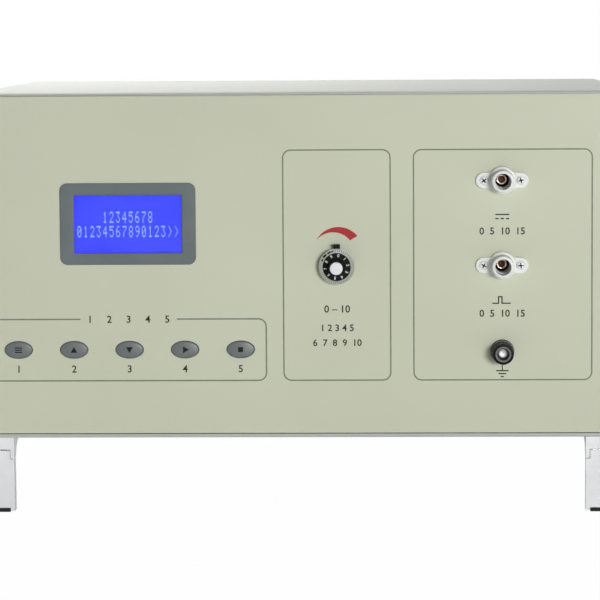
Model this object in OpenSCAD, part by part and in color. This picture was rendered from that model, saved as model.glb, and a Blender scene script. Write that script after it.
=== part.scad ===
// Impulse voltage tester: bench instrument with a lit display, five function keys, a ten-turn
// voltage dial, two high-voltage output sockets and a ground post, standing on four fold-out legs.
// Millimetres. X runs to the right, Y from front to back, Z up; the floor is z = 0.
// Places on the front are measured from the middle of its width and from the case's underside.

/* [Case] */
// Width of the case
case_w = 430; // [420:1:470]
// Height of the case without its feet
case_h = 222; // [216:1:260]
// Depth of the case from the frame's lip to the back panel
case_d = 365; // [340:1:420]
// Thickness of the folded cover
cover_t = 1.2; // [0.8:0.1:2]
// Outer radius of the cover's folds
fold_r = 3; // [2.2:0.1:5]
// Gap between shells that fit together
seam = 0.2; // [0.1:0.05:0.4]
// Width of the cover's turned-in flanges
cover_flange = 10; // [7:1:14]
// Thickness of the bottom pan
pan_t = 1.5; // [1:0.1:2.5]
// Height of the pan's upturned flanges
pan_flange = 14; // [11:1:20]
// Thickness of the back panel
back_t = 2; // [1.5:0.1:3]

/* [Side vents] */
// Number of slots in one row
vent_count = 14; // [4:1:16]
// Width of one slot
vent_w = 4; // [2.5:0.5:5]
// Height of one slot
vent_h = 34; // [16:1:44]
// Distance from slot to slot
vent_pitch = 11; // [9:0.5:12]
// Height of the row's middle above the underside
vent_z = 62; // [54:1:80]
// Height from the lower row to the upper one
vent_rise = 52; // [48:1:70]

/* [Front frame] */
// Thickness of the frame's lip at the top and the sides
frame_t = 1.3; // [1:0.1:2.2]
// Thickness of the frame's lip at the bottom
frame_sill = 2.4; // [1:0.1:3.4]
// Depth of the frame
frame_d = 16; // [12:1:24]
// Width of the ledge behind the panel
ledge_w = 8; // [5:1:9]
// Thickness of the ledge and of the rear flange
ledge_t = 1.5; // [1:0.1:2.5]
// How far the lip stands proud of the printed film
lip_rise = 0.4; // [0.2:0.1:1]

/* [Front panel] */
// Thickness of the panel plate
panel_t = 3; // [2:0.25:4]
// Thickness of the printed film on it
film_t = 0.25; // [0.15:0.05:0.4]
// Gap between the panel's edge and the frame's lip
panel_gap = 0.5; // [0.4:0.1:1.2]

/* [Display] */
// Distance of the display's middle from the case's left side
display_in = 106; // [95:0.1:115]
// Middle of the display above the underside
display_z = 138.3; // [130:0.1:150]
// Width of the bezel
bezel_w = 87.5; // [86:0.5:96]
// Height of the bezel
bezel_h = 52.6; // [51:0.1:60]
// Corner radius of the bezel
bezel_r = 4.8; // [3:0.1:7]
// How far the bezel stands proud of the film
bezel_rise = 0.8; // [0.4:0.1:1.5]
// Width of the viewing opening
view_w = 69; // [62:0.5:70]
// Height of the viewing opening
view_h = 37; // [32:0.5:38]
// Thickness of the clear window
window_t = 1.5; // [1:0.1:2]
// Wall of the bezel in front of the window
window_lip = 1.4; // [1:0.1:2]
// How far the window and the glass reach past the opening on each side
glass_lap = 2; // [1:0.1:2.2]
// Thickness of the display glass
glass_t = 2.8; // [2:0.1:3.4]
// Overall thickness of the display module's steel frame
lcd_frame_t = 5; // [4.6:0.1:7]
// Width of the display's circuit board
lcd_board_w = 97; // [96:1:105]
// Height of the display's circuit board
lcd_board_h = 72; // [68:1:76]

/* [Function keys] */
// Distance of the first key's middle from the case's left side
key_in = 34.5; // [31:0.1:37]
// Distance from key to key
key_pitch = 35.86; // [30:0.01:37]
// Height of the key row above the underside
key_z = 57.1; // [52:0.1:64]
// Width of a key's oval
key_w = 17.8; // [15:0.1:20]
// Height of a key's oval
key_h = 10.9; // [9:0.1:13]
// Gap round a key
key_gap = 0.35; // [0.3:0.05:0.6]
// How far a key stands proud at its edge
key_rise = 0.6; // [0.3:0.1:1.5]
// Radius of the crown on a key's face
key_crown = 60; // [50:1:90]
// Travel of a key
key_travel = 1; // [0.5:0.1:1.2]
// Width of the rim that holds a key behind the panel
key_rim = 1.5; // [1:0.1:2]
// Distance from the panel to the key board
key_board_gap = 12; // [11:0.5:16]

/* [Voltage dial] */
// Middle of the dial across the panel
dial_x = 25.2; // [10:0.1:38]
// Middle of the dial above the underside
dial_z = 111; // [90:0.1:130]
// Diameter of the knob
dial_d = 22.8; // [21:0.1:26]
// Height of the knob's front rim above the film
dial_h = 11.6; // [11:0.1:14]
// Height of the bevel between the knurl and the front rim
rim_bevel = 3; // [2:0.1:3.4]
// Diameter of the counting disc
disc_d = 17.2; // [14:0.1:17.6]
// Diameter of the centre cap
cap_d = 8.1; // [7.8:0.1:9]
// Height of the centre cap above the film
cap_reach = 24.5; // [22.5:0.5:28]
// Thickness of the fixed base ring
dial_base_h = 3.2; // [3:0.1:4]
// Thickness of the lock lever
lever_t = 1.6; // [1.2:0.1:2.2]
// Radius at which the lock lever's thumb tab ends
lever_reach = 14.1; // [13.8:0.1:16]
// Width of the thumb tab
lever_w = 4.2; // [3.5:0.1:5]
// Number of grooves in the knurl
knurl_count = 48; // [24:1:60]
// Diameter of the potentiometer's body
pot_d = 22; // [18:0.5:26]
// Length of the potentiometer's body
pot_l = 20; // [16:1:30]
// Radius of the potentiometer's shaft
shaft_r = 3; // [2.5:0.1:3.2]
// Radius of the potentiometer's threaded neck
neck_r = 4.7; // [4.2:0.1:5]

/* [Output sockets] */
// Distance of the sockets' middle from the case's right side
socket_in = 83.9; // [73:0.1:97]
// Height of the direct-voltage socket above the underside
dc_z = 165.3; // [150:0.1:172]
// Height of the pulse socket above the underside
pulse_z = 110.9; // [96:0.1:122]
// Radius of the flange's round middle
flange_r = 9.2; // [8.8:0.1:10.5]
// Radius of the ears
ear_r = 5.2; // [4.2:0.1:6]
// Distance of an ear's screw from the middle
ear_x = 11.8; // [11.6:0.1:14]
// Radius of the hollow between ear and middle
ear_fillet = 3; // [1:0.5:5]
// Thickness of the flange
flange_t = 2.5; // [2:0.1:3.5]
// Height of the socket's tube above the film
tube_h = 18; // [8:0.5:24]
// Outer radius of the tube
tube_r = 7; // [6.6:0.1:8]
// Radius of the plug's bore
plug_r = 5; // [4.8:0.1:6]
// Depth of the plug's bore
plug_l = 13; // [7:0.5:14]
// Radius of the narrow bore behind it
well_r = 4.6; // [4.2:0.1:4.7]
// Length of the insulator behind the panel
insulator_l = 34; // [28:1:50]
// Outer radius of the contact sleeve
contact_r = 3.3; // [2.9:0.05:3.6]
// Radius of the bore in the contact sleeve
contact_bore = 2.2; // [1.5:0.1:2.3]
// Distance of the contact's tip behind the plug's bore
contact_in = 15; // [1:0.5:16]

/* [Ground post] */
// Distance of the post's middle from the case's right side
post_in = 83.9; // [75:0.1:99]
// Height of the post above the underside
post_z = 55.5; // [48:0.1:64]
// Diameter of the insulating collar
post_d = 15.2; // [14.6:0.1:18]
// Height of the collar
collar_h = 4.2; // [3.2:0.1:6]
// Diameter of the screwed cap
post_cap_d = 13.8; // [13:0.1:16]
// Height of the cap's front above the film
post_reach = 20; // [18:0.5:24]
// Radius of the stud
stud_r = 2.8; // [2:0.1:3]
// Thickness of the clamp washer
washer_t = 0.8; // [0.5:0.1:1.2]
// Number of flutes on the cap
flute_count = 18; // [10:1:24]

/* [Feet and legs] */
// Height of the case's underside above the floor
stance = 49.5; // [44:0.5:60]
// Width of a foot
foot_w = 28.5; // [26:0.5:36]
// Distance of a foot's outer side from the case's side
foot_side = 1.3; // [1:0.1:30]
// Distance of a front foot's face from the front of the case
foot_set = 6; // [2:0.5:20]
// Distance of a back foot's face from the back of the case
foot_set_back = 2; // [1:0.5:20]
// Length of the foot base along the case
foot_l = 28; // [26:0.5:30]
// Height of the foot base's front wall
foot_h = 8.5; // [8.2:0.1:9.2]
// Wall of the foot base
foot_t = 2.5; // [2:0.1:3]
// Height of the joint line between base and leg
leg_gap = 0.9; // [0.6:0.1:1.2]
// Depth of the leg from front to back
leg_d = 9; // [8:0.5:12]
// Wall of the leg
leg_t = 2.2; // [1.8:0.1:2.8]
// Distance of the hinge pin behind the leg's face
pin_back = 7; // [6.8:0.1:7.4]
// Distance of the hinge pin below the case's underside
pin_drop = 10; // [9.8:0.1:10.6]
// Radius of the hinge pin
pin_r = 1.5; // [1.2:0.1:1.8]
// Radius of the leg's ears round the pin
leg_ear_r = 4.1; // [3.4:0.1:4.2]
// Thickness of the rubber pad
pad_t = 2.7; // [2.2:0.1:4]
// Distance of the pad from the leg's sides
pad_in = 3; // [2.8:0.1:5]

/* [Back fittings] */
// Distance of the fan's middle from the case's right side
fan_in = 103; // [80:1:125]
// Height of the fan's middle above the underside
fan_z = 118; // [100:1:130]
// Width of the fan's frame
fan_w = 80; // [70:1:92]
// Thickness of the fan's frame
fan_t = 25; // [20:1:32]
// Distance between the fan's screws
fan_hole = 71.5; // [61:0.5:74]
// Number of blades
blade_count = 7; // [5:1:9]
// Radius of the guard's wire
wire_r = 0.9; // [0.7:0.1:1.2]
// Distance of the power inlet's middle from the case's left side
inlet_in = 75; // [55:1:105]
// Height of the power inlet above the underside
inlet_z = 52; // [44:1:60]
// Middle of the power switch's height above the underside
switch_z = 112; // [100:1:130]
// Tilt of the rocker to either side
rocker_tilt = 10; // [8:1:12]

/* [Inside] */
// Height of the boards above the pan
post_l = 8; // [6:0.5:14]
// Thickness of the circuit boards
board_t = 1.6; // [1:0.1:2.4]
// Width of the mains transformer's core
core_w = 84; // [70:1:96]
// Height of the mains transformer's core
core_h = 70; // [60:1:84]
// Depth of the mains transformer's core
core_d = 46; // [36:1:56]
// Width of the high-voltage transformer
hv_w = 96; // [80:1:110]
// Depth of the high-voltage transformer
hv_d = 78; // [64:1:90]
// Height of the high-voltage transformer
hv_h = 88; // [70:1:110]
// Diameter of the storage capacitor
cap_can_d = 76; // [60:1:84]
// Length of the storage capacitor
cap_can_l = 130; // [100:1:140]

/* [Screws] */
// Radius of a small screw's shank
screw_r = 1.5; // [1.2:0.1:1.8]
// Radius of a small screw's head
head_r = 2.8; // [2.5:0.1:3]
// Height of a small screw's head
head_h = 1.8; // [1.4:0.1:2.4]
// Clearance round a shank in its hole
screw_gap = 0.15; // [0.1:0.05:0.3]

/* [Hidden] */
$fn = 48;
// Clearances: a running shaft, a sliding part and the reach of a cutting tool past a face
run_gap = 0.06;
slide_gap = 0.3;
cut = 1;
// Places of the case
front_reach = cap_reach;
switch_flange = 2.2;
rocker_w = 18;
rocker_h = 24;
rocker_r = 1.5;
rocker_in = 4;
rocker_waist = switch_flange + rocker_in + 1.2;
rocker_top = rocker_waist + rocker_h / 2 * tan(rocker_tilt);
rocker_end = rocker_h * 0.4;
rocker_reach = rocker_end * sin(rocker_tilt) + rocker_top * cos(rocker_tilt) - rocker_in;
back_reach = max(4 * wire_r, 2 * wire_r + head_h, rocker_reach);
total_d = front_reach - lip_rise + case_d + back_reach;
face_y = front_reach - total_d / 2;
lip_y = face_y - lip_rise;
shell_y = lip_y + frame_d;
back_y = lip_y + case_d;
mid_y = lip_y + case_d / 2;
case_z = stance;
display_x = display_in - case_w / 2;
key_x = key_in - case_w / 2;
socket_x = case_w / 2 - socket_in;
post_x = case_w / 2 - post_in;
foot_x = case_w / 2 - foot_side - foot_w / 2;
fan_x = case_w / 2 - fan_in;
inlet_x = inlet_in - case_w / 2;
inside_w = case_w - 2 * (cover_t + seam);
inside_h = case_h - cover_t - seam;
panel_w = case_w - 2 * (frame_t + panel_gap);
panel_h = case_h - frame_t - frame_sill - 2 * panel_gap;
panel_z = frame_sill + panel_gap + panel_h / 2;
panel_r = 1;
lip_r = fold_r - frame_t + 0.4;
panel_back = film_t + panel_t;
// The display, from the film backwards
bezel_body_w = bezel_w - 4;
bezel_body_h = bezel_h - 4;
window_back = window_lip - bezel_rise + window_t;
lcd_w = view_w + 2 * glass_lap + 3;
lcd_h = view_h + 2 * glass_lap + 3;
lcd_back = window_back + lcd_frame_t;
glass_back = window_back + 0.4 + glass_t;
lcd_post_x = lcd_board_w / 2 - 3.5;
lcd_post_z = lcd_board_h / 2 - 3.5;
// The keys
KEYS = [0, 1, 2, 3, 4];
key_stem_r = 1.8;
key_rim_t = 1.2;
key_board_z = panel_back + key_board_gap;
switch_w = 12;
switch_t = 4;
switch_floor = 0.4;
stem_end = key_board_z - switch_floor - slide_gap - key_travel;
key_board_side = 7;
key_board_over = 13;
key_board_w = 4 * key_pitch + key_w + 2 * key_board_side;
key_board_h = key_h + 2 * key_board_over;
key_plug = [10, 22, 8];
key_plug_in = 16;
key_mid_x = key_x + 2 * key_pitch;
// The dial, from the film outwards
lever_z = dial_base_h + slide_gap;
hub_r = 6.9;
knob_z = lever_z + lever_t + slide_gap;
nut_t = 2;
disc_floor = dial_h - 2.6;
disc_t = 1.2;
boss_r = cap_d / 2 + 0.9;
// The sockets, from the film outwards
boss_h = flange_t + 1.6;
ring_r = min(flange_r, ear_x - head_r - seam);
plug_end = tube_h - plug_l;
contact_tip = plug_end - contact_in;
web_t = 8;
fillet_y = ear_r + ear_fillet;
fillet_x = sqrt(pow(flange_r + ear_fillet, 2) - pow(fillet_y, 2));
fillet_k = flange_r / (flange_r + ear_fillet);
// The ground post, from the film outwards
washer_z = collar_h;
post_cap_z = collar_h + washer_t + slide_gap;
stud_end = post_reach - 7.5;
// The feet: the pin is the origin of a leg's side view
leg_w = foot_w;
ear_in = foot_t + slide_gap;
cheek_r = 4.6;
knee = cheek_r + 0.4;
hip = knee + 0.4;
roof_under = pin_drop - foot_t;
leg_top = pin_drop - foot_h - leg_gap;
leg_back = leg_d - pin_back;
leg_foot = stance - pin_drop - pad_t;
toe_drop = pad_t - 0.7;
SIDES = [-1, 1];
FOOT_Y = [lip_y + foot_set, back_y - foot_set_back];
foot_hole_y = foot_l - 9;
// The back fittings
fan_r = fan_w / 2 - 2;
fan_hub_r = fan_w * 0.22;
blade_pitch = 38;
blade_chord = 23;
inlet_w = 50;
inlet_h = 34;
inlet_t = 3;
recess_w = 24;
recess_h = 16;
recess_d = 17;
recess_up = 4;
drawer_w = 22;
drawer_h = 7;
drawer_d = 24;
drawer_down = 10.5;
inlet_body_w = 33;
inlet_body_h = 30.6;
inlet_body_d = 28;
inlet_screw_x = 20;
switch_w2 = 25;
switch_h2 = 31;
// The boards and what stands on the pan
deck_z = case_z + pan_t;
control_w = 150;
control_d = 110;
control_x = -118;
control_dy = -62;
pulse_w = 140;
pulse_d = 100;
pulse_x = 72;
pulse_dy = -66;
core_x = -118;
core_dy = 62;
hv_x = 0;
hv_dy = 84;
can_x = 122;
can_dy = 52;
BOARD_CORNERS = [for (a = SIDES, b = SIDES) [a, b]];
COVER_SCREW_Y = [for (t = [0.1, 0.5, 0.9]) shell_y + t * (back_y - shell_y)];
BACK_SCREW_X = [-0.46, -0.16, 0.16, 0.46];

// Puts a shape on the front: its own z points out of the panel and starts at the film's face
module on_front(x, z) {
    translate([x, face_y, case_z + z]) rotate([90, 0, 0]) children();
}

// Puts a shape on the back: its own z points out of the back panel and starts at its outer face
module on_back(x, z) {
    translate([x, back_y, case_z + z]) rotate([90, 0, 180]) children();
}

// Rectangle with round corners, centred
module round_rect(w, h, r) {
    square([w - 2 * r, h], center = true);
    square([w, h - 2 * r], center = true);
    for (a = SIDES, b = SIDES) translate([a * (w / 2 - r), b * (h / 2 - r)]) circle(r = r);
}

// Plate with round corners from height z0 to z1
module round_plate(w, h, r, z0, z1) {
    translate([0, 0, z0]) linear_extrude(z1 - z0) round_rect(w, h, r);
}

// Cylinder from height z0 to z1
module rod(r, z0, z1) {
    translate([0, 0, z0]) cylinder(r = r, h = z1 - z0);
}

// Block centred in x and y from height z0 to z1
module block(w, h, z0, z1) {
    translate([-w / 2, -h / 2, z0]) cube([w, h, z1 - z0]);
}

// Oval of the keys
module oval(w, h) {
    polygon([for (a = [0 : 7.5 : 352.5]) [w / 2 * cos(a), h / 2 * sin(a)]]);
}

// Cross-head screw: its head stands on z = 0 and its shank reaches down
module cross_screw(length, r = screw_r) {
    difference() {
        union() {
            rod(head_r, 0, head_h * 0.55);
            translate([0, 0, head_h * 0.55]) cylinder(r1 = head_r, r2 = head_r * 0.62, h = head_h * 0.45);
            rod(r, -length, 0);
        }
        for (a = [0, 90]) rotate([0, 0, a]) block(head_r, 0.55, head_h * 0.5, head_h + cut);
    }
}

// Hexagonal nut lying on z = 0
module hex_nut(across, bore, t) {
    difference() {
        cylinder(r = across / sqrt(3), h = t, $fn = 6);
        rod(bore, -cut, t + cut);
    }
}

// Case shells

// Floor of the case with its four upturned flanges
module bottom_pan() {
    depth = back_y - back_t - shell_y;
    color("lightgray") translate([0, shell_y, case_z]) difference() {
        translate([-inside_w / 2, 0, 0]) cube([inside_w, depth, pan_flange]);
        translate([-inside_w / 2 + pan_t, pan_t, pan_t])
            cube([inside_w - 2 * pan_t, depth - 2 * pan_t, pan_flange]);
        translate([0, -shell_y, -case_z]) {
            at_foot_screws() rod(screw_r + screw_gap, -cut, pan_t + cut + foot_t);
            at_cover_screws() rod(screw_r + screw_gap, -pan_t - cover_t - cut, cut);
            at_low_back_screws() rod(screw_r + screw_gap, -pan_t - back_t - cut, cut);
        }
    }
}

// Section of the cover: an upside-down U
module cover_section(inset) {
    w = case_w / 2 - inset;
    h = case_h - inset;
    r = fold_r - inset;
    difference() {
        union() {
            translate([-w, 0]) square([2 * w, h - r]);
            translate([-w + r, 0]) square([2 * (w - r), h]);
            for (a = SIDES) translate([a * (w - r), h - r]) circle(r = r);
        }
        translate([-w - cut, -cut]) square([2 * w + 2 * cut, cut]);
    }
}

// Upright slot in a side of the cover, with round ends
module vent_slot() {
    rotate([0, 90, 0]) linear_extrude(case_w + 2 * cut, center = true) {
        square([vent_h - vent_w, vent_w], center = true);
        for (a = SIDES) translate([a * (vent_h - vent_w) / 2, 0]) circle(d = vent_w, $fn = 24);
    }
}

// Folded cover: top and two sides, turned in at the front and the back, with side vents
module top_cover() {
    y0 = shell_y + seam;
    y1 = back_y;
    flange_y = [y0, back_y - back_t - cover_t];
    color("whitesmoke") difference() {
        union() {
            translate([0, y1, case_z]) rotate([90, 0, 0]) linear_extrude(y1 - y0) difference() {
                cover_section(0);
                cover_section(cover_t);
                translate([-case_w / 2 + cover_t, -cut]) square([case_w - 2 * cover_t, case_h / 2]);
            }
            for (y = flange_y) translate([0, y + cover_t, case_z]) rotate([90, 0, 0])
                linear_extrude(cover_t) difference() {
                    cover_section(cover_t / 2);
                    translate([-case_w / 2 + cover_flange, -cut])
                        square([case_w - 2 * cover_flange, case_h - cover_flange + cut]);
                    translate([-case_w / 2, -cut]) square([case_w, pan_flange + 2 + cut]);
                }
        }
        for (row = [0, 1], i = [0 : vent_count - 1])
            translate([0, mid_y + (i - (vent_count - 1) / 2) * vent_pitch, case_z + vent_z + row * vent_rise])
                vent_slot();
        at_cover_screws() rod(screw_r + screw_gap, -pan_t - cover_t - cut, cut);
        at_high_back_screws() rod(screw_r + screw_gap, -back_t - cover_t - cut, cut);
    }
}

// Back panel with its cut-outs
module back_panel() {
    color("lightgray") difference() {
        on_back(0, inside_h / 2) round_plate(inside_w, inside_h, fold_r - cover_t, -back_t, 0);
        on_back(fan_x, fan_z) {
            rod(fan_r, -back_t - cut, cut);
            at_fan_screws() rod(screw_r + screw_gap, -back_t - cut, cut);
        }
        on_back(inlet_x, inlet_z) {
            block(inlet_body_w + 2 * seam, inlet_body_h + 2 * seam, -back_t - cut, cut);
            for (a = SIDES) translate([a * inlet_screw_x, 0, 0]) rod(screw_r + screw_gap, -back_t - cut, cut);
        }
        on_back(inlet_x, switch_z) block(switch_w2 - 3, switch_h2 - 3, -back_t - cut, cut);
        at_low_back_screws() rod(screw_r + screw_gap, -back_t - cut, cut);
        at_high_back_screws() rod(screw_r + screw_gap, -back_t - cut, cut);
    }
}

// Frame that carries the front panel: lip, ledge behind the panel and rear flange
module front_frame() {
    open_w = panel_w + 2 * panel_gap;
    open_h = panel_h + 2 * panel_gap;
    color("silver") difference() {
        on_front(0, case_h / 2) round_plate(case_w, case_h, fold_r, lip_rise - frame_d, lip_rise);
        on_front(0, panel_z) {
            round_plate(open_w, open_h, lip_r, -panel_back, lip_rise + cut);
            round_plate(open_w, open_h, lip_r, lip_rise - frame_d + ledge_t, -panel_back - ledge_t);
            block(open_w - 2 * ledge_w, open_h - 2 * ledge_w, lip_rise - frame_d - cut, lip_rise);
        }
    }
}

// Cuts through panel and film for everything that the panel carries
module panel_holes(z0, z1) {
    on_front(display_x, display_z)
        round_plate(bezel_body_w + 2 * seam, bezel_body_h + 2 * seam, bezel_r - 2 + seam, z0, z1);
    for (i = KEYS) on_front(key_x + i * key_pitch, key_z)
        translate([0, 0, z0]) linear_extrude(z1 - z0) oval(key_w + 2 * key_gap, key_h + 2 * key_gap);
    on_front(dial_x, dial_z) rod(neck_r + screw_gap, z0, z1);
    for (z = [dc_z, pulse_z]) on_front(socket_x, z) {
        rod(flange_r - 0.6 + seam, z0, z1);
        for (a = SIDES) translate([a * ear_x, 0, 0]) rod(screw_r + screw_gap, z0, z1);
    }
    on_front(post_x, post_z) rod(stud_r + 1.6 + seam, z0, z1);
}

// Aluminium front plate
module front_panel() {
    color("darkseagreen") difference() {
        on_front(0, panel_z) round_plate(panel_w, panel_h, panel_r, -panel_back, -film_t);
        panel_holes(-panel_back - cut, cut);
    }
}

// Printed film that covers the plate
module front_film() {
    color([0.76, 0.78, 0.7]) difference() {
        on_front(0, panel_z) round_plate(panel_w, panel_h, panel_r, -film_t, 0);
        panel_holes(-panel_back - cut, cut);
    }
}

// Display

// Moulded bezel, stepped inside for the window and the display module
module display_bezel() {
    color("slategray") on_front(display_x, display_z) difference() {
        union() {
            round_plate(bezel_w, bezel_h, bezel_r, 0, bezel_rise);
            round_plate(bezel_body_w, bezel_body_h, bezel_r - 2, seam - lcd_back, 0);
        }
        block(view_w, view_h, -window_back, bezel_rise + cut);
        block(view_w + 2 * glass_lap + 2 * seam, view_h + 2 * glass_lap + 2 * seam,
              -window_back, bezel_rise - window_lip);
        block(lcd_w + 2 * seam, lcd_h + 2 * seam, -lcd_back - cut, -window_back);
    }
}

// Clear window in the bezel
module display_window() {
    color([0.8, 0.9, 1, 0.3]) on_front(display_x, display_z)
        block(view_w + 2 * glass_lap, view_h + 2 * glass_lap, -window_back, bezel_rise - window_lip);
}

// Steel frame of the display module, folded round the glass
module lcd_frame() {
    color("dimgray") on_front(display_x, display_z) difference() {
        block(lcd_w, lcd_h, -lcd_back, -window_back);
        block(view_w + 1, view_h + 1, -lcd_back - cut, -window_back + cut);
        block(view_w + 2 * glass_lap + 2 * seam, view_h + 2 * glass_lap + 2 * seam,
              -lcd_back - cut, -window_back - 0.4);
    }
}

// Display glass
module lcd_glass() {
    color("blue") on_front(display_x, display_z)
        block(view_w + 2 * glass_lap, view_h + 2 * glass_lap, -glass_back, -window_back - 0.4);
}

// Display board on four posts that stand on the panel, with its light guide and chips
module lcd_board() {
    color("darkgreen") on_front(display_x, display_z) {
        block(lcd_board_w, lcd_board_h, -lcd_back - board_t, -lcd_back);
        block(view_w + 2 * glass_lap, view_h + 2 * glass_lap, -lcd_back, -glass_back);
        for (c = BOARD_CORNERS) translate([c[0] * lcd_post_x, c[1] * lcd_post_z, 0])
            rod(2.5, -lcd_back, -panel_back);
        for (a = SIDES) translate([a * view_w / 4, 0, 0])
            block(14, 14, -lcd_back - board_t - 2.4, -lcd_back - board_t);
    }
}

// Function keys

// One key: crowned oval, retaining rim and stem
module key(i) {
    color("slategray") on_front(key_x + i * key_pitch, key_z) {
        intersection() {
            translate([0, 0, -panel_back - slide_gap - key_rim_t])
                linear_extrude(panel_back + slide_gap + key_rim_t + key_rise + 2) oval(key_w, key_h);
            translate([0, 0, key_rise + 0.5 - key_crown]) sphere(r = key_crown, $fn = 96);
        }
        translate([0, 0, -panel_back - slide_gap - key_rim_t]) linear_extrude(key_rim_t)
            oval(key_w + 2 * key_gap + 2 * key_rim, key_h + 2 * key_gap + 2 * key_rim);
        rod(key_stem_r, -stem_end, -panel_back - slide_gap - key_rim_t);
    }
}

// Five switch housings on the key board
module key_switches() {
    color("dimgray") for (i = KEYS) on_front(key_x + i * key_pitch, key_z) difference() {
        union() {
            block(switch_w, switch_w, -key_board_z, -key_board_z + switch_t - 0.8);
            rod(switch_w * 0.34, -key_board_z, -key_board_z + switch_t);
        }
        rod(key_stem_r + run_gap, -key_board_z + switch_floor, 0);
    }
}

// Key board on its posts
module key_board() {
    color("darkgreen") on_front(key_mid_x, key_z) {
        block(key_board_w, key_board_h, -key_board_z - board_t, -key_board_z);
        for (a = [-1.5, -0.5, 0.5, 1.5], b = SIDES)
            translate([a * key_pitch, b * (key_board_h / 2 - 4), 0]) rod(2.5, -key_board_z, -panel_back);
        translate([key_board_w / 2 - key_plug_in, 0, 0])
            block(key_plug[0], key_plug[1], -key_board_z - board_t - key_plug[2], -key_board_z - board_t);
    }
}

// Voltage dial

// Fixed base ring with the hub that the lever turns on
module dial_base() {
    color([0.12, 0.12, 0.12]) on_front(dial_x, dial_z) difference() {
        union() {
            rod(dial_d / 2 - 1, 0, dial_base_h);
            rod(hub_r, 0, lever_z + lever_t);
        }
        rod(neck_r * 2 / sqrt(3) + 0.7, -cut, nut_t + 0.3);
        rod(neck_r + screw_gap, -cut, dial_base_h + cut);
        rod(shaft_r + 0.8, -cut, knob_z + cut);
    }
}

// Lock lever: a ring on the hub with a thumb tab at the top
module dial_lock_lever() {
    color([0.1, 0.1, 0.1]) on_front(dial_x, dial_z) difference() {
        union() {
            rod(dial_d / 2 - 1.6, lever_z, lever_z + lever_t);
            translate([-lever_w / 2, 0, lever_z]) cube([lever_w, lever_reach, lever_t]);
            translate([-lever_w / 2, dial_d / 2 + 0.6, lever_z])
                cube([lever_w, lever_reach - dial_d / 2 - 0.6, lever_t + 3]);
        }
        rod(hub_r + run_gap, lever_z - cut, lever_z + lever_t + cut);
    }
}

// Outline of the knob from its axis outwards
module knob_section() {
    r = dial_d / 2;
    lip = disc_d / 2 + 0.35;
    polygon([
        [shaft_r + 0.02, knob_z], [r - 0.6, knob_z], [r, knob_z + 0.6], [r, dial_h - rim_bevel],
        [lip + 0.5, dial_h], [lip, dial_h - 0.4], [lip, disc_floor],
        [boss_r, disc_floor], [boss_r, cap_reach - 3], [boss_r - 0.5, cap_reach - 2.4],
        [shaft_r + 0.02, cap_reach - 2.4]
    ]);
}

// Knurled knob with the well for the counting disc
module dial_knob() {
    color("silver") on_front(dial_x, dial_z) difference() {
        rotate_extrude($fn = 96) knob_section();
        for (i = [0 : knurl_count - 1]) rotate([0, 0, i * 360 / knurl_count])
            translate([dial_d / 2 + 0.15, 0, knob_z + 0.9])
                cylinder(r = 0.55, h = dial_h - knob_z - rim_bevel - 1.4, $fn = 4);
    }
}

// Counting disc in the knob's well
module dial_turns_disc() {
    color([0.08, 0.08, 0.08]) on_front(dial_x, dial_z) difference() {
        rod(disc_d / 2, disc_floor + slide_gap, disc_floor + slide_gap + disc_t);
        rod(boss_r + 0.1, 0, dial_h);
    }
}

// Cap over the knob's clamp screw
module dial_cap() {
    color("white") on_front(dial_x, dial_z) {
        rod(cap_d / 2, cap_reach - 2.4, cap_reach - 0.6);
        translate([0, 0, cap_reach - 0.6]) cylinder(r1 = cap_d / 2, r2 = cap_d / 2 - 0.6, h = 0.6);
    }
}

// Potentiometer: body behind the panel and threaded neck through it
module pot_body() {
    color("steelblue") on_front(dial_x, dial_z) difference() {
        union() {
            rod(pot_d / 2, -panel_back - pot_l, -panel_back);
            rod(neck_r, -panel_back, nut_t + 0.8);
            for (a = [-1, 0, 1]) rotate([0, 0, a * 28 - 90]) translate([pot_d / 2 + 1.5, 0, 0])
                block(4, 2.4, -panel_back - pot_l + 2, -panel_back - pot_l + 2.6);
        }
        rod(shaft_r + run_gap, -panel_back - pot_l + 3, nut_t + 0.8 + cut);
    }
}

// Shaft from the potentiometer into the knob
module pot_shaft() {
    color("gainsboro") on_front(dial_x, dial_z) rod(shaft_r, -panel_back - pot_l + 3.5, cap_reach - 2.6);
}

// Nuts behind and in front of the panel: potentiometer, ground post and sockets
module panel_nuts() {
    color("gainsboro") {
        on_front(dial_x, dial_z) hex_nut(2 * neck_r + 0.6, neck_r + 0.02, nut_t);
        on_front(post_x, post_z) for (z = [-panel_back - 1.6 - 2.6, -panel_back - 1.6 - 5.4])
            translate([0, 0, z]) hex_nut(9, stud_r + 0.02, 2.6);
        for (z = [dc_z, pulse_z], a = SIDES) on_front(socket_x + a * ear_x, z)
            translate([0, 0, -panel_back - 2.4]) hex_nut(5.5, screw_r + 0.02, 2.4);
    }
}

// Output sockets

// Outline of the flange: round middle and two ears with hollow shoulders
module ear_outline() {
    circle(r = flange_r);
    square([2 * ear_x, 2 * ear_r], center = true);
    for (a = SIDES) translate([a * ear_x, 0]) circle(r = ear_r);
    for (a = [0, 1], b = [0, 1]) mirror([a, 0]) mirror([0, b]) difference() {
        polygon([
            [0, 0], [fillet_x, ear_r], [fillet_x, fillet_y], [fillet_x * fillet_k, fillet_y * fillet_k]
        ]);
        translate([fillet_x, fillet_y]) circle(r = ear_fillet);
    }
}

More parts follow.
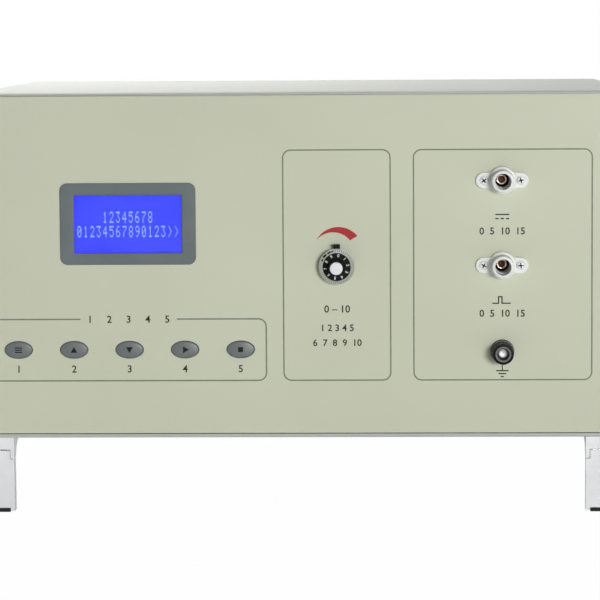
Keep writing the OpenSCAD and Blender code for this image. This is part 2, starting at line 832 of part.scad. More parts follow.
// Insulating body of a socket
module socket_body(z) {
    color("ivory") on_front(socket_x, z) difference() {
        union() {
            linear_extrude(flange_t) ear_outline();
            rod(ring_r, 0, boss_h - 0.6);
            translate([0, 0, boss_h - 0.6]) cylinder(r1 = ring_r, r2 = ring_r - 0.6, h = 0.6);
            rod(tube_r, 0, tube_h - 0.5);
            translate([0, 0, tube_h - 0.5]) cylinder(r1 = tube_r, r2 = tube_r - 0.5, h = 0.5);
            rod(flange_r - 0.6, -panel_back, 0);
            rod(flange_r - 1.4, -panel_back - insulator_l, -panel_back);
        }
        rod(plug_r, plug_end, tube_h + cut);
        rod(well_r, -panel_back - insulator_l + web_t, plug_end + cut / 2);
        rod(contact_r + 0.03, -panel_back - insulator_l - cut, 0);
        for (a = SIDES) translate([a * ear_x, 0, 0]) rod(screw_r + screw_gap, -cut, flange_t + cut);
        for (k = [0 : 2]) translate([0, 0, -panel_back - insulator_l + web_t + 4 + 6 * k]) difference() {
            rod(flange_r, 0, 3);
            rod(flange_r - 2.6, -cut, 3 + cut);
        }
    }
}

// Contact sleeve of a socket with its solder tail
module socket_contact(z) {
    tail = -panel_back - insulator_l;
    color("peru") on_front(socket_x, z) difference() {
        union() {
            rod(contact_r, tail - 2, contact_tip);
            rod(contact_r * 0.55, tail - 8, tail - 2);
        }
        rod(contact_bore, tail + web_t, contact_tip + cut);
        block(2 * contact_r + cut, 0.5, contact_tip - 8, contact_tip + cut);
    }
}

// Screws in the sockets' ears
module socket_screws() {
    color("gainsboro") for (z = [dc_z, pulse_z], a = SIDES) on_front(socket_x + a * ear_x, z)
        translate([0, 0, flange_t]) cross_screw(flange_t + panel_back + 3.4);
}

// Ground post

// Insulating collar with its neck through the panel and the washer behind
module post_collar() {
    color([0.07, 0.07, 0.07]) on_front(post_x, post_z) difference() {
        union() {
            rod(post_d / 2, 0, collar_h - 1.4);
            translate([0, 0, collar_h - 1.4]) cylinder(r1 = post_d / 2, r2 = post_d / 2 - 1.2, h = 1.4);
            rod(stud_r + 1.6, -panel_back, 0);
            rod(post_d / 2 - 1, -panel_back - 1.6, -panel_back);
        }
        rod(stud_r + 0.02, -panel_back - 1.6 - cut, collar_h + cut);
    }
}

// Stud through collar and panel
module post_stud() {
    color("gainsboro") on_front(post_x, post_z) difference() {
        union() {
            rod(stud_r, -panel_back - 14, stud_end - 0.5);
            translate([0, 0, stud_end - 0.5]) cylinder(r1 = stud_r, r2 = stud_r - 0.5, h = 0.5);
        }
        block(2 * stud_r + cut, 0.7, stud_end - 1, stud_end + cut);
    }
}

// Washer that the cap presses on the wire
module post_washer() {
    color("silver") on_front(post_x, post_z) difference() {
        rod(post_cap_d / 2 - 1, washer_z + 0.1, washer_z + 0.1 + washer_t);
        rod(stud_r + 0.1, 0, post_cap_z);
    }
}

// Screwed cap: tapered, fluted, with a hollow front
module post_cap() {
    r = post_cap_d / 2;
    z0 = post_cap_z + 0.1;
    well = stud_end + 1;
    color([0.08, 0.08, 0.08]) on_front(post_x, post_z) difference() {
        rotate_extrude($fn = 72) polygon([
            [stud_r + run_gap, z0], [r - 0.5, z0], [r, z0 + 0.5], [r, z0 + 2.2], [r - 0.2, z0 + 2.8],
            [r - 0.4, post_reach - 0.8], [r - 1.1, post_reach], [r - 2.1, post_reach],
            [stud_r + 1.1, post_reach - 0.9], [stud_r + 0.9, post_reach - 3.6],
            [stud_r + run_gap, well]
        ]);
        for (i = [0 : flute_count - 1]) rotate([0, 0, i * 360 / flute_count])
            translate([r + 0.1, 0, z0 + 3.6])
                cylinder(r = 1, h = post_reach - z0 - 5.4, $fn = 16);
    }
}

// Feet and legs

// Puts a foot in a corner: its own x runs from the foot's middle, y inwards along the case
// from the foot's face, and z from the case's underside
module at_corner(side, end) {
    translate([side * foot_x, FOOT_Y[end], case_z])
        mirror([0, end, 0]) children();
}

// Cheek of a foot base in side view: straight face, round behind the pin, sloping tail
module cheek_section() {
    difference() {
        union() {
            translate([pin_back, -pin_drop]) circle(r = cheek_r);
            polygon([
                [0, 0], [0, -pin_drop - cheek_r], [pin_back, -pin_drop - cheek_r],
                [pin_back + cheek_r, -pin_drop], [pin_back + cheek_r + 1.4, -pin_drop + 2.2],
                [foot_l, -1], [foot_l, 0]
            ]);
        }
        translate([pin_back, -pin_drop]) circle(r = pin_r + 0.02);
    }
}

// Foot base: roof against the case, front wall and two cheeks that hold the pin
module foot_base(side, end) {
    color("gainsboro") at_corner(side, end) difference() {
        union() {
            for (a = SIDES) translate([a * (foot_w - foot_t) / 2 - foot_t / 2, 0, 0])
                rotate([90, 0, 90]) linear_extrude(foot_t) cheek_section();
            translate([-foot_w / 2, 0, -foot_t]) cube([foot_w, foot_l, foot_t]);
            translate([-foot_w / 2, 0, -foot_h]) cube([foot_w, foot_t, foot_h]);
        }
        for (a = SIDES) translate([a * foot_w / 5, foot_hole_y, 0])
            rod(screw_r + screw_gap, -foot_t - cut, cut);
    }
}

// Side wall of a leg in side view: ear round the pin, cut back behind the knee, toe at the floor
module leg_side_section() {
    difference() {
        union() {
            circle(r = leg_ear_r);
            polygon([
                [-pin_back, leg_top], [0, leg_top], [leg_ear_r, 0], [leg_ear_r, -knee + 1],
                [1, -hip], [leg_back, -hip - 9], [leg_back, -leg_foot],
                [-pin_back, -leg_foot]
            ]);
        }
        circle(r = pin_r + run_gap);
    }
}

// Fold-out leg: a channel with a face, two sides, a foot plate and ears on the pin
module leg(side, end) {
    inner_w = leg_w - 2 * ear_in;
    color("whitesmoke") at_corner(side, end) translate([0, pin_back, -pin_drop]) {
        // Ears between the cheeks
        for (a = SIDES) translate([a * (inner_w - leg_t) / 2 - leg_t / 2, 0, 0])
            rotate([90, 0, 90]) linear_extrude(leg_t) leg_side_section();
        // Face: narrow between the cheeks, full width below them
        translate([-inner_w / 2, -pin_back, -knee - 1]) cube([inner_w, leg_t, leg_top + knee + 1]);
        translate([-leg_w / 2, -pin_back, -leg_foot]) cube([leg_w, leg_t, leg_foot - knee]);
        // Sides below the hip, out to the full width, with their toes
        for (a = SIDES) translate([a * (leg_w - ear_in - leg_t) / 2 - (ear_in + leg_t) / 2, 0, 0])
            rotate([90, 0, 90]) linear_extrude(ear_in + leg_t) intersection() {
                leg_side_section();
                translate([-pin_back, -leg_foot]) square([leg_d, leg_foot - hip]);
            }
        // Foot plate
        translate([-leg_w / 2, -pin_back, -leg_foot]) cube([leg_w, leg_d, leg_t]);
        for (a = SIDES) translate([a * (leg_w - pad_in + slide_gap) / 2 - (pad_in - slide_gap) / 2,
                                   -pin_back, -leg_foot - toe_drop])
            cube([pad_in - slide_gap, leg_d, toe_drop]);
    }
}

// Rubber pad under a leg
module pad(side, end) {
    color([0.1, 0.1, 0.1]) at_corner(side, end)
        translate([-leg_w / 2 + pad_in, 0, -stance]) cube([leg_w - 2 * pad_in, leg_d, pad_t]);
}

// Hinge pins of the four legs
module leg_pins() {
    color("silver") for (side = SIDES, end = [0, 1]) at_corner(side, end)
        translate([0, pin_back, -pin_drop]) rotate([0, 90, 0])
            cylinder(r = pin_r, h = foot_w, center = true);
}

// Back fittings

// Places of the fan's four screws
module at_fan_screws() {
    for (a = SIDES, b = SIDES) translate([a * fan_hole / 2, b * fan_hole / 2, 0]) children();
}

// Fan frame: square rims, round duct, struts and motor seat
module fan_frame() {
    color([0.13, 0.13, 0.13]) on_back(fan_x, fan_z) translate([0, 0, -back_t]) difference() {
        union() {
            difference() {
                round_plate(fan_w, fan_w, 4, -fan_t, 0);
                rod(fan_r, -fan_t - cut, cut);
                difference() {
                    round_plate(fan_w + cut, fan_w + cut, 4, -fan_t + 3.5, -3.5);
                    rod(fan_r + 1.5, -fan_t, 0);
                    at_fan_screws() rod(3.6, -fan_t, 0);
                }
            }
            rod(fan_hub_r - 1, -fan_t, -fan_t + 4);
            rod(4, -fan_t, -fan_t + 8);
            for (a = [45 : 90 : 315]) rotate([0, 0, a]) translate([0, -2, -fan_t])
                cube([fan_r + 0.8, 4, 3]);
        }
        at_fan_screws() rod(screw_r + screw_gap, -fan_t - cut, cut);
        rod(1.5 + run_gap, -fan_t + 1, -fan_t + 8 + cut);
    }
}

// Blade: a plate that reaches out from the hub, set at an angle
module fan_blade() {
    rotate([blade_pitch, 0, 0]) translate([0, -blade_chord / 2, -0.7]) cube([fan_r, blade_chord, 1.4]);
}

// Fan rotor: cup-shaped hub, blades and shaft
module fan_rotor() {
    z0 = -fan_t + 4 + slide_gap;
    z1 = -1.5;
    color([0.16, 0.16, 0.16]) on_back(fan_x, fan_z) translate([0, 0, -back_t]) {
        difference() {
            rod(fan_hub_r, z0, z1);
            rod(fan_hub_r - 1.5, z0 - cut, z1 - 2);
        }
        rod(1.5, -fan_t + 1.5, z1 - 2);
        intersection() {
            difference() {
                rod(fan_r - 1, z0 + 0.5, z1 - 0.5);
                rod(fan_hub_r - 0.5, z0 - cut, z1 + cut);
            }
            for (i = [0 : blade_count - 1]) rotate([0, 0, i * 360 / blade_count])
                translate([0, 0, (z0 + z1) / 2]) fan_blade();
        }
    }
}

// Wire guard over the fan: rings, two spokes across and four eyes
module fan_guard() {
    ring_step = (fan_r - 2) / 5;
    color("silver") on_back(fan_x, fan_z) {
        for (k = [1 : 5]) translate([0, 0, 3 * wire_r]) rotate_extrude($fn = 72)
            translate([k * ring_step, 0]) circle(r = wire_r, $fn = 16);
        for (a = [45, 135]) rotate([0, 0, a]) translate([0, 0, 1.4 * wire_r]) rotate([0, 90, 0])
            cylinder(r = wire_r, h = fan_hole * sqrt(2) - 2 * head_r - 1, center = true, $fn = 16);
        at_fan_screws() difference() {
            rod(4, 0, 2 * wire_r);
            rod(screw_r + screw_gap, -cut, 2 * wire_r + cut);
        }
    }
}

// Mains inlet: flange, socket recess with three blades, and the fuse drawer's slot
module power_inlet() {
    color([0.1, 0.1, 0.1]) on_back(inlet_x, inlet_z) {
        difference() {
            union() {
                round_plate(inlet_w, inlet_h, 3, 0, inlet_t);
                block(inlet_body_w, inlet_body_h, -inlet_body_d, 0);
            }
            translate([0, recess_up, 0]) round_plate(recess_w, recess_h, 2.5, inlet_t - recess_d, inlet_t + cut);
            translate([0, -drawer_down, 0])
                block(drawer_w + 2 * slide_gap, drawer_h + 2 * slide_gap, inlet_t - drawer_d, inlet_t + cut);
            for (a = SIDES) translate([a * inlet_screw_x, 0, 0]) rod(screw_r + screw_gap, -cut, inlet_t + cut);
        }
        for (p = [[-7, -2], [7, -2], [0, 2]]) translate([p[0], recess_up + p[1], 0]) {
            block(2, 4, inlet_t - recess_d, inlet_t - 5);
            block(0.8, 6.3, -inlet_body_d - 8, -inlet_body_d);
        }
    }
}

// Fuse drawer with its finger lip
module fuse_drawer() {
    color([0.14, 0.14, 0.14]) on_back(inlet_x, inlet_z) translate([0, -drawer_down, 0]) difference() {
        union() {
            block(drawer_w, drawer_h, inlet_t - drawer_d + 1, inlet_t + 0.3);
            round_plate(drawer_w + 2, drawer_h + 1.6, 1, inlet_t + 0.3, inlet_t + 1.5);
        }
        translate([0, drawer_h / 2, 0]) block(14, 5, -14, inlet_t - 2);
        block(6, 2, inlet_t + 0.8, inlet_t + 1.5 + cut);
    }
}

// Power switch: flange and housing with the rocker's well
module power_switch() {
    color([0.1, 0.1, 0.1]) on_back(inlet_x, switch_z) difference() {
        union() {
            round_plate(switch_w2, switch_h2, 2, 0, switch_flange);
            block(switch_w2 - 3 - 2 * seam, switch_h2 - 3 - 2 * seam, -16, 0);
            for (a = SIDES, b = [-8, 8]) translate([a * 5, b, 0]) block(0.8, 6.3, -24, -16);
        }
        block(rocker_w + 2 * slide_gap, rocker_h + 2 * slide_gap, -10, switch_flange + cut);
        translate([0, 0, -rocker_in]) rotate([0, 90, 0])
            cylinder(r = rocker_r + run_gap, h = rocker_w + 3, center = true);
    }
}

// Rocker on its two stub axles, tilted to one side
module power_rocker() {
    color("firebrick") on_back(inlet_x, switch_z) translate([0, 0, -rocker_in]) {
        rotate([-rocker_tilt, 0, 0]) translate([-rocker_w / 2, 0, 0]) rotate([90, 0, 90])
            linear_extrude(rocker_w) polygon([
                [-rocker_end - 0.5, 0], [0, -3.5], [rocker_end + 0.5, 0], [rocker_end + 0.9, rocker_top - 0.6],
                [rocker_end, rocker_top], [0, rocker_waist], [-rocker_end, rocker_top],
                [-rocker_end - 0.9, rocker_top - 0.6]
            ]);
        rotate([0, 90, 0]) cylinder(r = rocker_r, h = rocker_w + 2.4, center = true);
    }
}

// Inside

// Puts a shape on the pan's floor at x and dy from the case's middle
module on_deck(x, dy) {
    translate([x, mid_y + dy, deck_z]) children();
}

// Mains transformer: laminated core, wound bobbin and two foot brackets
module mains_transformer() {
    foot = 14;
    color("dimgray") on_deck(core_x, core_dy) {
        block(core_w, core_d, 2, core_h);
        for (a = SIDES) {
            translate([a * (core_w / 2 + foot / 2 - 0.5), 0, 0]) block(foot + 1, core_d, 0, 2);
            translate([a * (core_w / 2 + 0.75), 0, 0]) block(1.5, core_d, 2, 24);
        }
        block(core_w, core_d, 0, 2);
        for (a = SIDES) translate([0, a * (core_d / 2 + 8), 0])
            round_plate(core_w * 0.62, 16, 5, 14, core_h - 12);
        for (a = SIDES) translate([a * core_w * 0.4, 0, core_h]) cylinder(r = 3.5, h = 3, $fn = 6);
    }
}

// High-voltage transformer: potted block with two ribbed bushings
module hv_transformer() {
    color([0.2, 0.2, 0.22]) on_deck(hv_x, hv_dy) {
        difference() {
            round_plate(hv_w, hv_d, 5, 0, hv_h);
            round_plate(hv_w - 8, hv_d - 8, 3, hv_h - 3, hv_h + cut);
        }
        for (a = SIDES) translate([a * hv_w / 4, 0, 0]) {
            rod(7, hv_h - 3, hv_h + 18);
            for (k = [0 : 2]) rod(10, hv_h + 2 + k * 5, hv_h + 4 + k * 5);
            rod(2, hv_h + 18, hv_h + 26);
        }
    }
}

// Storage capacitor lying in two saddles
module storage_capacitor() {
    r = cap_can_d / 2;
    axis_z = r + 6;
    color("lightsteelblue") on_deck(can_x, can_dy) {
        translate([0, 0, axis_z]) rotate([90, 0, 0]) {
            cylinder(r = r, h = cap_can_l, center = true, $fn = 72);
            for (a = SIDES) translate([a * r * 0.45, 0, cap_can_l / 2]) {
                cylinder(r = 6, h = 5);
                cylinder(r = 2.5, h = 12);
            }
        }
        for (a = SIDES) translate([0, a * cap_can_l * 0.32, 0]) difference() {
            block(r * 1.5, 14, 0, axis_z);
            translate([0, 0, axis_z]) rotate([90, 0, 0]) cylinder(r = r - 0.5, h = 20, center = true, $fn = 72);
        }
    }
}

// Board on four posts: w and d are its sizes
module posted_board(w, d) {
    block(w, d, post_l, post_l + board_t);
    for (c = BOARD_CORNERS) translate([c[0] * (w / 2 - 6), c[1] * (d / 2 - 6), 0]) rod(3, 0, post_l);
}

// Control board and pulse board with their parts
module circuit_boards() {
    top = post_l + board_t;
    color("seagreen") on_deck(control_x, control_dy) {
        posted_board(control_w, control_d);
        translate([-30, 10, 0]) block(28, 28, top, top + 3);
        translate([30, 20, 0]) block(30, 22, top, top + 18);
        for (k = [0 : 3]) translate([-50 + k * 22, -36, 0]) rod(7, top, top + 20);
        translate([45, -30, 0]) block(26, 10, top, top + 9);
    }
    color("darkolivegreen") on_deck(pulse_x, pulse_dy) {
        posted_board(pulse_w, pulse_d);
        // Row of rectifier stacks and shaping resistors lying on the board
        for (k = [0 : 3]) translate([-44 + k * 20, 18, top + 7]) rotate([90, 0, 0])
            cylinder(r = 7, h = 46, center = true);
        // Discharge relay
        translate([46, -18, 0]) block(30, 40, top, top + 32);
        for (a = SIDES) translate([46 + a * 8, -18, 0]) rod(2, top + 32, top + 38);
        translate([-30, -32, 0]) block(50, 16, top, top + 14);
    }
}

// Screws of the case: cover sides, back panel, feet, fan and inlet
module case_screws() {
    color("silver") {
        at_cover_screws() cross_screw(cover_t + pan_t + seam + 3);
        at_low_back_screws() cross_screw(back_t + pan_t + 3);
        at_high_back_screws() cross_screw(back_t + cover_t + 3);
        at_foot_screws() mirror([0, 0, 1]) translate([0, 0, foot_t]) cross_screw(foot_t + pan_t + 2);
        on_back(fan_x, fan_z) at_fan_screws() translate([0, 0, 2 * wire_r])
            cross_screw(2 * wire_r + back_t + 12);
        on_back(inlet_x, inlet_z) for (a = SIDES) translate([a * inlet_screw_x, 0, inlet_t])
            cross_screw(inlet_t + back_t + 3);
    }
}

// Places of the screws in the cover's sides: z points out of the side
module at_cover_screws() {
    for (a = SIDES, y = COVER_SCREW_Y)
        translate([a * case_w / 2, y, case_z + pan_flange / 2 + 1]) rotate([0, a * 90, 0]) children();
}

// Places of the back panel's screws into the pan: z points out of the back
module at_low_back_screws() {
    for (k = BACK_SCREW_X) on_back(k * case_w, pan_flange / 2 + 1) children();
}

// Places of the back panel's screws into the cover
module at_high_back_screws() {
    for (k = BACK_SCREW_X) on_back(k * case_w, case_h - cover_flange / 2 - 1) children();
}

// Places of the feet's screws: z points up from the case's underside
module at_foot_screws() {
    for (side = SIDES, end = [0, 1], a = SIDES) at_corner(side, end)
        translate([a * foot_w / 5, foot_hole_y, 0]) children();
}

bottom_pan();
top_cover();
back_panel();
front_frame();
front_panel();
front_film();
display_bezel();
display_window();
lcd_frame();
lcd_glass();
lcd_board();
key(0);  // key_1
key(1);  // key_2
key(2);  // key_3
key(3);  // key_4
key(4);  // key_5
key_switches();
key_board();
dial_base();
dial_lock_lever();
dial_knob();
dial_turns_disc();
dial_cap();
pot_body();
pot_shaft();
panel_nuts();
socket_body(dc_z);  // dc_socket_body
socket_contact(dc_z);  // dc_socket_contact
socket_body(pulse_z);  // pulse_socket_body
socket_contact(pulse_z);  // pulse_socket_contact
socket_screws();
post_collar();
post_stud();
post_washer();
post_cap();
foot_base(-1, 0);  // foot_base_fl
foot_base(1, 0);  // foot_base_fr
foot_base(-1, 1);  // foot_base_bl
foot_base(1, 1);  // foot_base_br
leg(-1, 0);  // leg_fl
leg(1, 0);  // leg_fr
leg(-1, 1);  // leg_bl
leg(1, 1);  // leg_br
pad(-1, 0);  // pad_fl
pad(1, 0);  // pad_fr
pad(-1, 1);  // pad_bl
pad(1, 1);  // pad_br
leg_pins();
fan_frame();
fan_rotor();
fan_guard();
power_inlet();
fuse_drawer();
power_switch();
power_rocker();
mains_transformer();
hv_transformer();
storage_capacitor();
circuit_boards();
case_screws();
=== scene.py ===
# Impulse voltage tester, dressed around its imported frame
import math
from types import SimpleNamespace

import bmesh
import bpy
from mathutils import Matrix, Vector


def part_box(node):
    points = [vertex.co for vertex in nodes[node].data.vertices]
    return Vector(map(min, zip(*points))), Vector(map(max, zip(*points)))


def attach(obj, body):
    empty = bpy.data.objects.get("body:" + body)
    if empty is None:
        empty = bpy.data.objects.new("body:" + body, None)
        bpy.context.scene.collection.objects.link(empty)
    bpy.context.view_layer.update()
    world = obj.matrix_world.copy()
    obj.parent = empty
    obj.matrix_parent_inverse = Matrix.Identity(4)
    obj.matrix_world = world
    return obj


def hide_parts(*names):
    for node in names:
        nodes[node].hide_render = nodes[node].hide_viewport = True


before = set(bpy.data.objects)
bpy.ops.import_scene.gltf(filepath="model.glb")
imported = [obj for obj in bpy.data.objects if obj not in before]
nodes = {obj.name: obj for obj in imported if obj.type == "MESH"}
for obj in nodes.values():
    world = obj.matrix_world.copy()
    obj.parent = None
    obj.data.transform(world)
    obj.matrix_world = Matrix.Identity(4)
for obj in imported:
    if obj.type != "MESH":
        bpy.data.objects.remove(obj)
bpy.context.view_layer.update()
tau = 2 * math.pi

# Places: pieces are drawn in millimetres around their own middle, then put where the frame says
millimetre = Matrix.Scale(0.001, 4)
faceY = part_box("front_film")[0].y  # the printed face
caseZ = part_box("bottom_pan")[0].z  # the case's underside


def middleOf(name):
    low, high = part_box(name)
    return (low + high) / 2


def middleX(name):
    return middleOf(name).x * 1000


def onFront(x, z):
    # the piece's own z points out of the panel
    return Matrix.Translation((x, faceY, z)) @ Matrix.Rotation(math.pi / 2, 4, "X") @ millimetre


def overNode(name):
    middle = middleOf(name)
    return onFront(middle.x, middle.z)


panelPlace = onFront(0, caseZ)
displayPlace = overNode("display_bezel")
dialPlace = overNode("dial_base")
socketPlaces = {"dc": overNode("dc_socket_body"), "pulse": overNode("pulse_socket_body")}
postPlace = overNode("post_collar")


def placed(name, data):
    holder = bpy.data.objects.new(name, data)
    bpy.context.scene.collection.objects.link(holder)
    return holder


def placedMesh(name, bm):
    mesh = bpy.data.meshes.new(name)
    bm.to_mesh(mesh)
    bm.free()
    return placed(name, mesh)


# Camera: on the photograph's line of sight
cameraSettings = {
    "place": (0.064139, -2.097817, 0.319622),
    "right": (0.99946702, 0.03201422, -0.0063849),
    "down": (-0.00335351, -0.09386294, -0.99557948),
    "forward": (-0.032472, 0.99507027, -0.09370556),
    "lens": 180.6,
    "sensor": 36,
    "far": 100,
}


def makeCamera(settings):
    s = SimpleNamespace(**settings)
    camera = bpy.data.cameras.new("camera")
    camera.lens = s.lens
    camera.sensor_width = s.sensor
    camera.clip_end = s.far
    holder = placed("camera", camera)
    turn = Matrix((s.right, -Vector(s.down), -Vector(s.forward))).transposed()
    holder.matrix_world = Matrix.Translation(s.place) @ turn.to_4x4()
    bpy.context.scene.camera = holder


makeCamera(cameraSettings)
print("camera placed")


# Materials
def linearShare(value):
    value = value / 255
    return value / 12.92 if value <= 0.04045 else ((value + 0.055) / 1.055) ** 2.4


def paint(rgb):
    return tuple(linearShare(value) for value in rgb) + (1,)


def newMaterial(name):
    material = bpy.data.materials.new(name)
    material.use_nodes = True
    return material, material.node_tree, material.node_tree.nodes["Principled BSDF"]


def noiseOn(tree, scale, stretch=(1, 1, 1)):
    # noise in object space, finer or coarser along each axis by stretch
    place = tree.nodes.new("ShaderNodeTexCoord")
    mapping = tree.nodes.new("ShaderNodeMapping")
    mapping.inputs["Scale"].default_value = stretch
    noise = tree.nodes.new("ShaderNodeTexNoise")
    noise.inputs["Scale"].default_value = scale
    noise.inputs["Detail"].default_value = 3
    tree.links.new(place.outputs["Object"], mapping.inputs["Vector"])
    tree.links.new(mapping.outputs["Vector"], noise.inputs["Vector"])
    return noise.outputs[0]


def rangeOf(tree, source, low, high, fromLow=0.3, fromHigh=0.7):
    node = tree.nodes.new("ShaderNodeMapRange")
    node.inputs["From Min"].default_value = fromLow
    node.inputs["From Max"].default_value = fromHigh
    node.inputs["To Min"].default_value = low
    node.inputs["To Max"].default_value = high
    tree.links.new(source, node.inputs["Value"])
    return node.outputs["Result"]


def mixColours(tree, factor, first, second):
    node = tree.nodes.new("ShaderNodeMix")
    node.data_type = "RGBA"
    tree.links.new(factor, node.inputs[0])
    node.inputs[6].default_value = paint(first)
    node.inputs[7].default_value = paint(second)
    return node.outputs[2]


def makeFinish(name, settings):
    # plain base, a mottled colour, an uneven gloss and a fine grain
    material, tree, shader = newMaterial(name)
    shader.inputs["Metallic"].default_value = settings.get("metallic", 0)
    shader.inputs["Specular IOR Level"].default_value = settings.get("specular", 0.5)
    cloud = noiseOn(tree, settings.get("cloud", 12), settings.get("stretch", (1, 1, 1)))
    base = mixColours(tree, rangeOf(tree, cloud, 0, 1), settings["rgb"], settings["rgb2"])
    tree.links.new(base, shader.inputs["Base Color"])
    grain = noiseOn(tree, settings.get("grain", 2600), settings.get("grainStretch", (1, 1, 1)))
    rough, spread = settings.get("roughness", 0.5), 0.06
    tree.links.new(rangeOf(tree, grain, rough - spread, rough + spread), shader.inputs["Roughness"])
    bump = tree.nodes.new("ShaderNodeBump")
    bump.inputs["Strength"].default_value = settings.get("bump", 0.1)
    bump.inputs["Distance"].default_value = 0.0003
    tree.links.new(grain, bump.inputs["Height"])
    tree.links.new(bump.outputs["Normal"], shader.inputs["Normal"])
    return material


def makeGlow(name, settings):
    # a lit surface: a dark base whose glow shines by itself
    material = makeFinish(name, settings)
    tree = material.node_tree
    shader = tree.nodes["Principled BSDF"]
    cloud = rangeOf(tree, noiseOn(tree, settings["cloud"]), 0, 1)
    glow = mixColours(tree, cloud, settings["glow"], settings["glow2"])
    tree.links.new(glow, shader.inputs["Emission Color"])
    shader.inputs["Emission Strength"].default_value = settings["strength"]
    return material


casePaint = makeFinish("casePaint", {
    "rgb": (222, 223, 218), "rgb2": (214, 215, 210), "roughness": 0.6, "cloud": 9,
    "stretch": (0.2, 2.5, 1), "grain": 1400, "bump": 0.18, "specular": 0.12})
panPaint = makeFinish("panPaint", {
    "rgb": (206, 208, 204), "rgb2": (198, 200, 196), "roughness": 0.55, "grain": 1400, "bump": 0.18})
# the frame's own grey, darkened as painted shade for the thin dark line between the cover and the panel
frameGreyWithShade = makeFinish("frameGreyWithShade", {
    "rgb": (174, 176, 170), "rgb2": (165, 167, 161), "roughness": 0.42, "grain": 1600, "bump": 0.12})
panelMetal = makeFinish("panelMetal", {
    "rgb": (168, 170, 166), "rgb2": (186, 188, 184), "roughness": 0.35, "metallic": 1, "cloud": 60,
    "stretch": (0.1, 1, 3), "grain": 900, "grainStretch": (0.05, 1, 1)})
panelPrint = makeFinish("panelPrint", {
    "rgb": (196, 200, 178), "rgb2": (191, 195, 173), "roughness": 0.55, "cloud": 7, "bump": 0.09,
    "specular": 0.35})
printDark = makeFinish("printDark", {
    "rgb": (38, 42, 32), "rgb2": (46, 50, 40), "cloud": 300, "specular": 0.12})
printOlive = makeFinish("printOlive", {
    "rgb": (108, 116, 98), "rgb2": (120, 128, 108), "cloud": 200, "specular": 0.2})
printRed = makeFinish("printRed", {
    "rgb": (170, 47, 50), "rgb2": (162, 42, 46), "cloud": 150, "specular": 0.15})
bezelPlastic = makeFinish("bezelPlastic", {
    "rgb": (96, 105, 106), "rgb2": (89, 98, 99), "roughness": 0.42, "cloud": 40, "grain": 2200,
    "bump": 0.15, "specular": 0.3})
keyPlastic = makeFinish("keyPlastic", {
    "rgb": (98, 105, 104), "rgb2": (90, 97, 96), "roughness": 0.34, "cloud": 120, "grain": 2400,
    "specular": 0.4})
keyInk = makeFinish("keyInk", {
    "rgb": (18, 22, 24), "rgb2": (27, 31, 33), "cloud": 300, "specular": 0.1})
dialBlack = makeFinish("dialBlack", {
    "rgb": (15, 16, 14), "rgb2": (23, 24, 22), "roughness": 0.36, "cloud": 200, "grain": 2200,
    "bump": 0.08, "specular": 0.05})
dialSilver = makeFinish("dialSilver", {
    "rgb": (216, 218, 217), "rgb2": (196, 198, 197), "roughness": 0.34, "metallic": 1, "cloud": 500,
    "grain": 3000, "bump": 0.05})
dialWhite = makeFinish("dialWhite", {
    "rgb": (236, 238, 236), "rgb2": (226, 228, 226), "cloud": 300})
capPlastic = makeFinish("capPlastic", {
    "rgb": (222, 225, 226), "rgb2": (214, 217, 219), "roughness": 0.3, "cloud": 150, "grain": 2200,
    "bump": 0.05})
brightSteel = makeFinish("brightSteel", {
    "rgb": (206, 206, 202), "rgb2": (182, 182, 178), "roughness": 0.25, "metallic": 1, "cloud": 350,
    "bump": 0.06})
socketWhite = makeFinish("socketWhite", {
    "rgb": (221, 223, 219), "rgb2": (213, 216, 211), "roughness": 0.36, "cloud": 90, "grain": 2000,
    "bump": 0.06, "specular": 0.3})
# painted shade: black for the shaded depths of the socket bores and the bottoms of the screw crosses
paintedShadeBlack = makeFinish("paintedShadeBlack", {
    "rgb": (14, 13, 10), "rgb2": (21, 19, 15), "cloud": 300, "grain": 2000, "specular": 0.2})
contactBrass = makeFinish("contactBrass", {
    "rgb": (244, 226, 210), "rgb2": (222, 198, 180), "roughness": 0.3, "metallic": 1, "cloud": 700,
    "grain": 2400})
# copper tone darkened as painted shade for the bottom of the contacts' bores
copperAndPaintedShade = makeFinish("copperAndPaintedShade", {
    "rgb": (108, 56, 46), "rgb2": (76, 36, 29), "roughness": 0.45, "metallic": 0.2, "cloud": 900,
    "grain": 2400})
screwNickel = makeFinish("screwNickel", {
    "rgb": (228, 230, 230), "rgb2": (214, 216, 216), "roughness": 0.42, "metallic": 0.35, "cloud": 400,
    "bump": 0.05})
postBlack = makeFinish("postBlack", {
    "rgb": (10, 10, 9), "rgb2": (15, 15, 14), "roughness": 0.36, "cloud": 160, "grain": 2200,
    "bump": 0.05, "specular": 0.06})
postSteel = makeFinish("postSteel", {
    "rgb": (190, 190, 187), "rgb2": (160, 160, 157), "metallic": 0.7, "cloud": 600, "bump": 0.06})
# painted highlight: grey on the black post where its edges would catch the light
postPaintedSheen = makeFinish("postPaintedSheen", {
    "rgb": (122, 123, 120), "rgb2": (106, 107, 104), "cloud": 500, "grain": 2400, "specular": 0.3})
footPlastic = makeFinish("footPlastic", {
    "rgb": (226, 228, 229), "rgb2": (218, 220, 221), "roughness": 0.45, "cloud": 45, "grain": 1500,
    "bump": 0.15})
padRubber = makeFinish("padRubber", {
    "rgb": (22, 22, 22), "rgb2": (31, 31, 31), "roughness": 0.75, "cloud": 150, "grain": 1200,
    "bump": 0.25, "specular": 0.25})
fanBlack = makeFinish("fanBlack", {
    "rgb": (30, 30, 31), "rgb2": (38, 38, 39), "roughness": 0.45, "cloud": 80, "grain": 1500,
    "bump": 0.15})
inletBlack = makeFinish("inletBlack", {
    "rgb": (26, 26, 27), "rgb2": (33, 33, 34), "roughness": 0.4, "cloud": 90, "grain": 1800, "bump": 0.12})
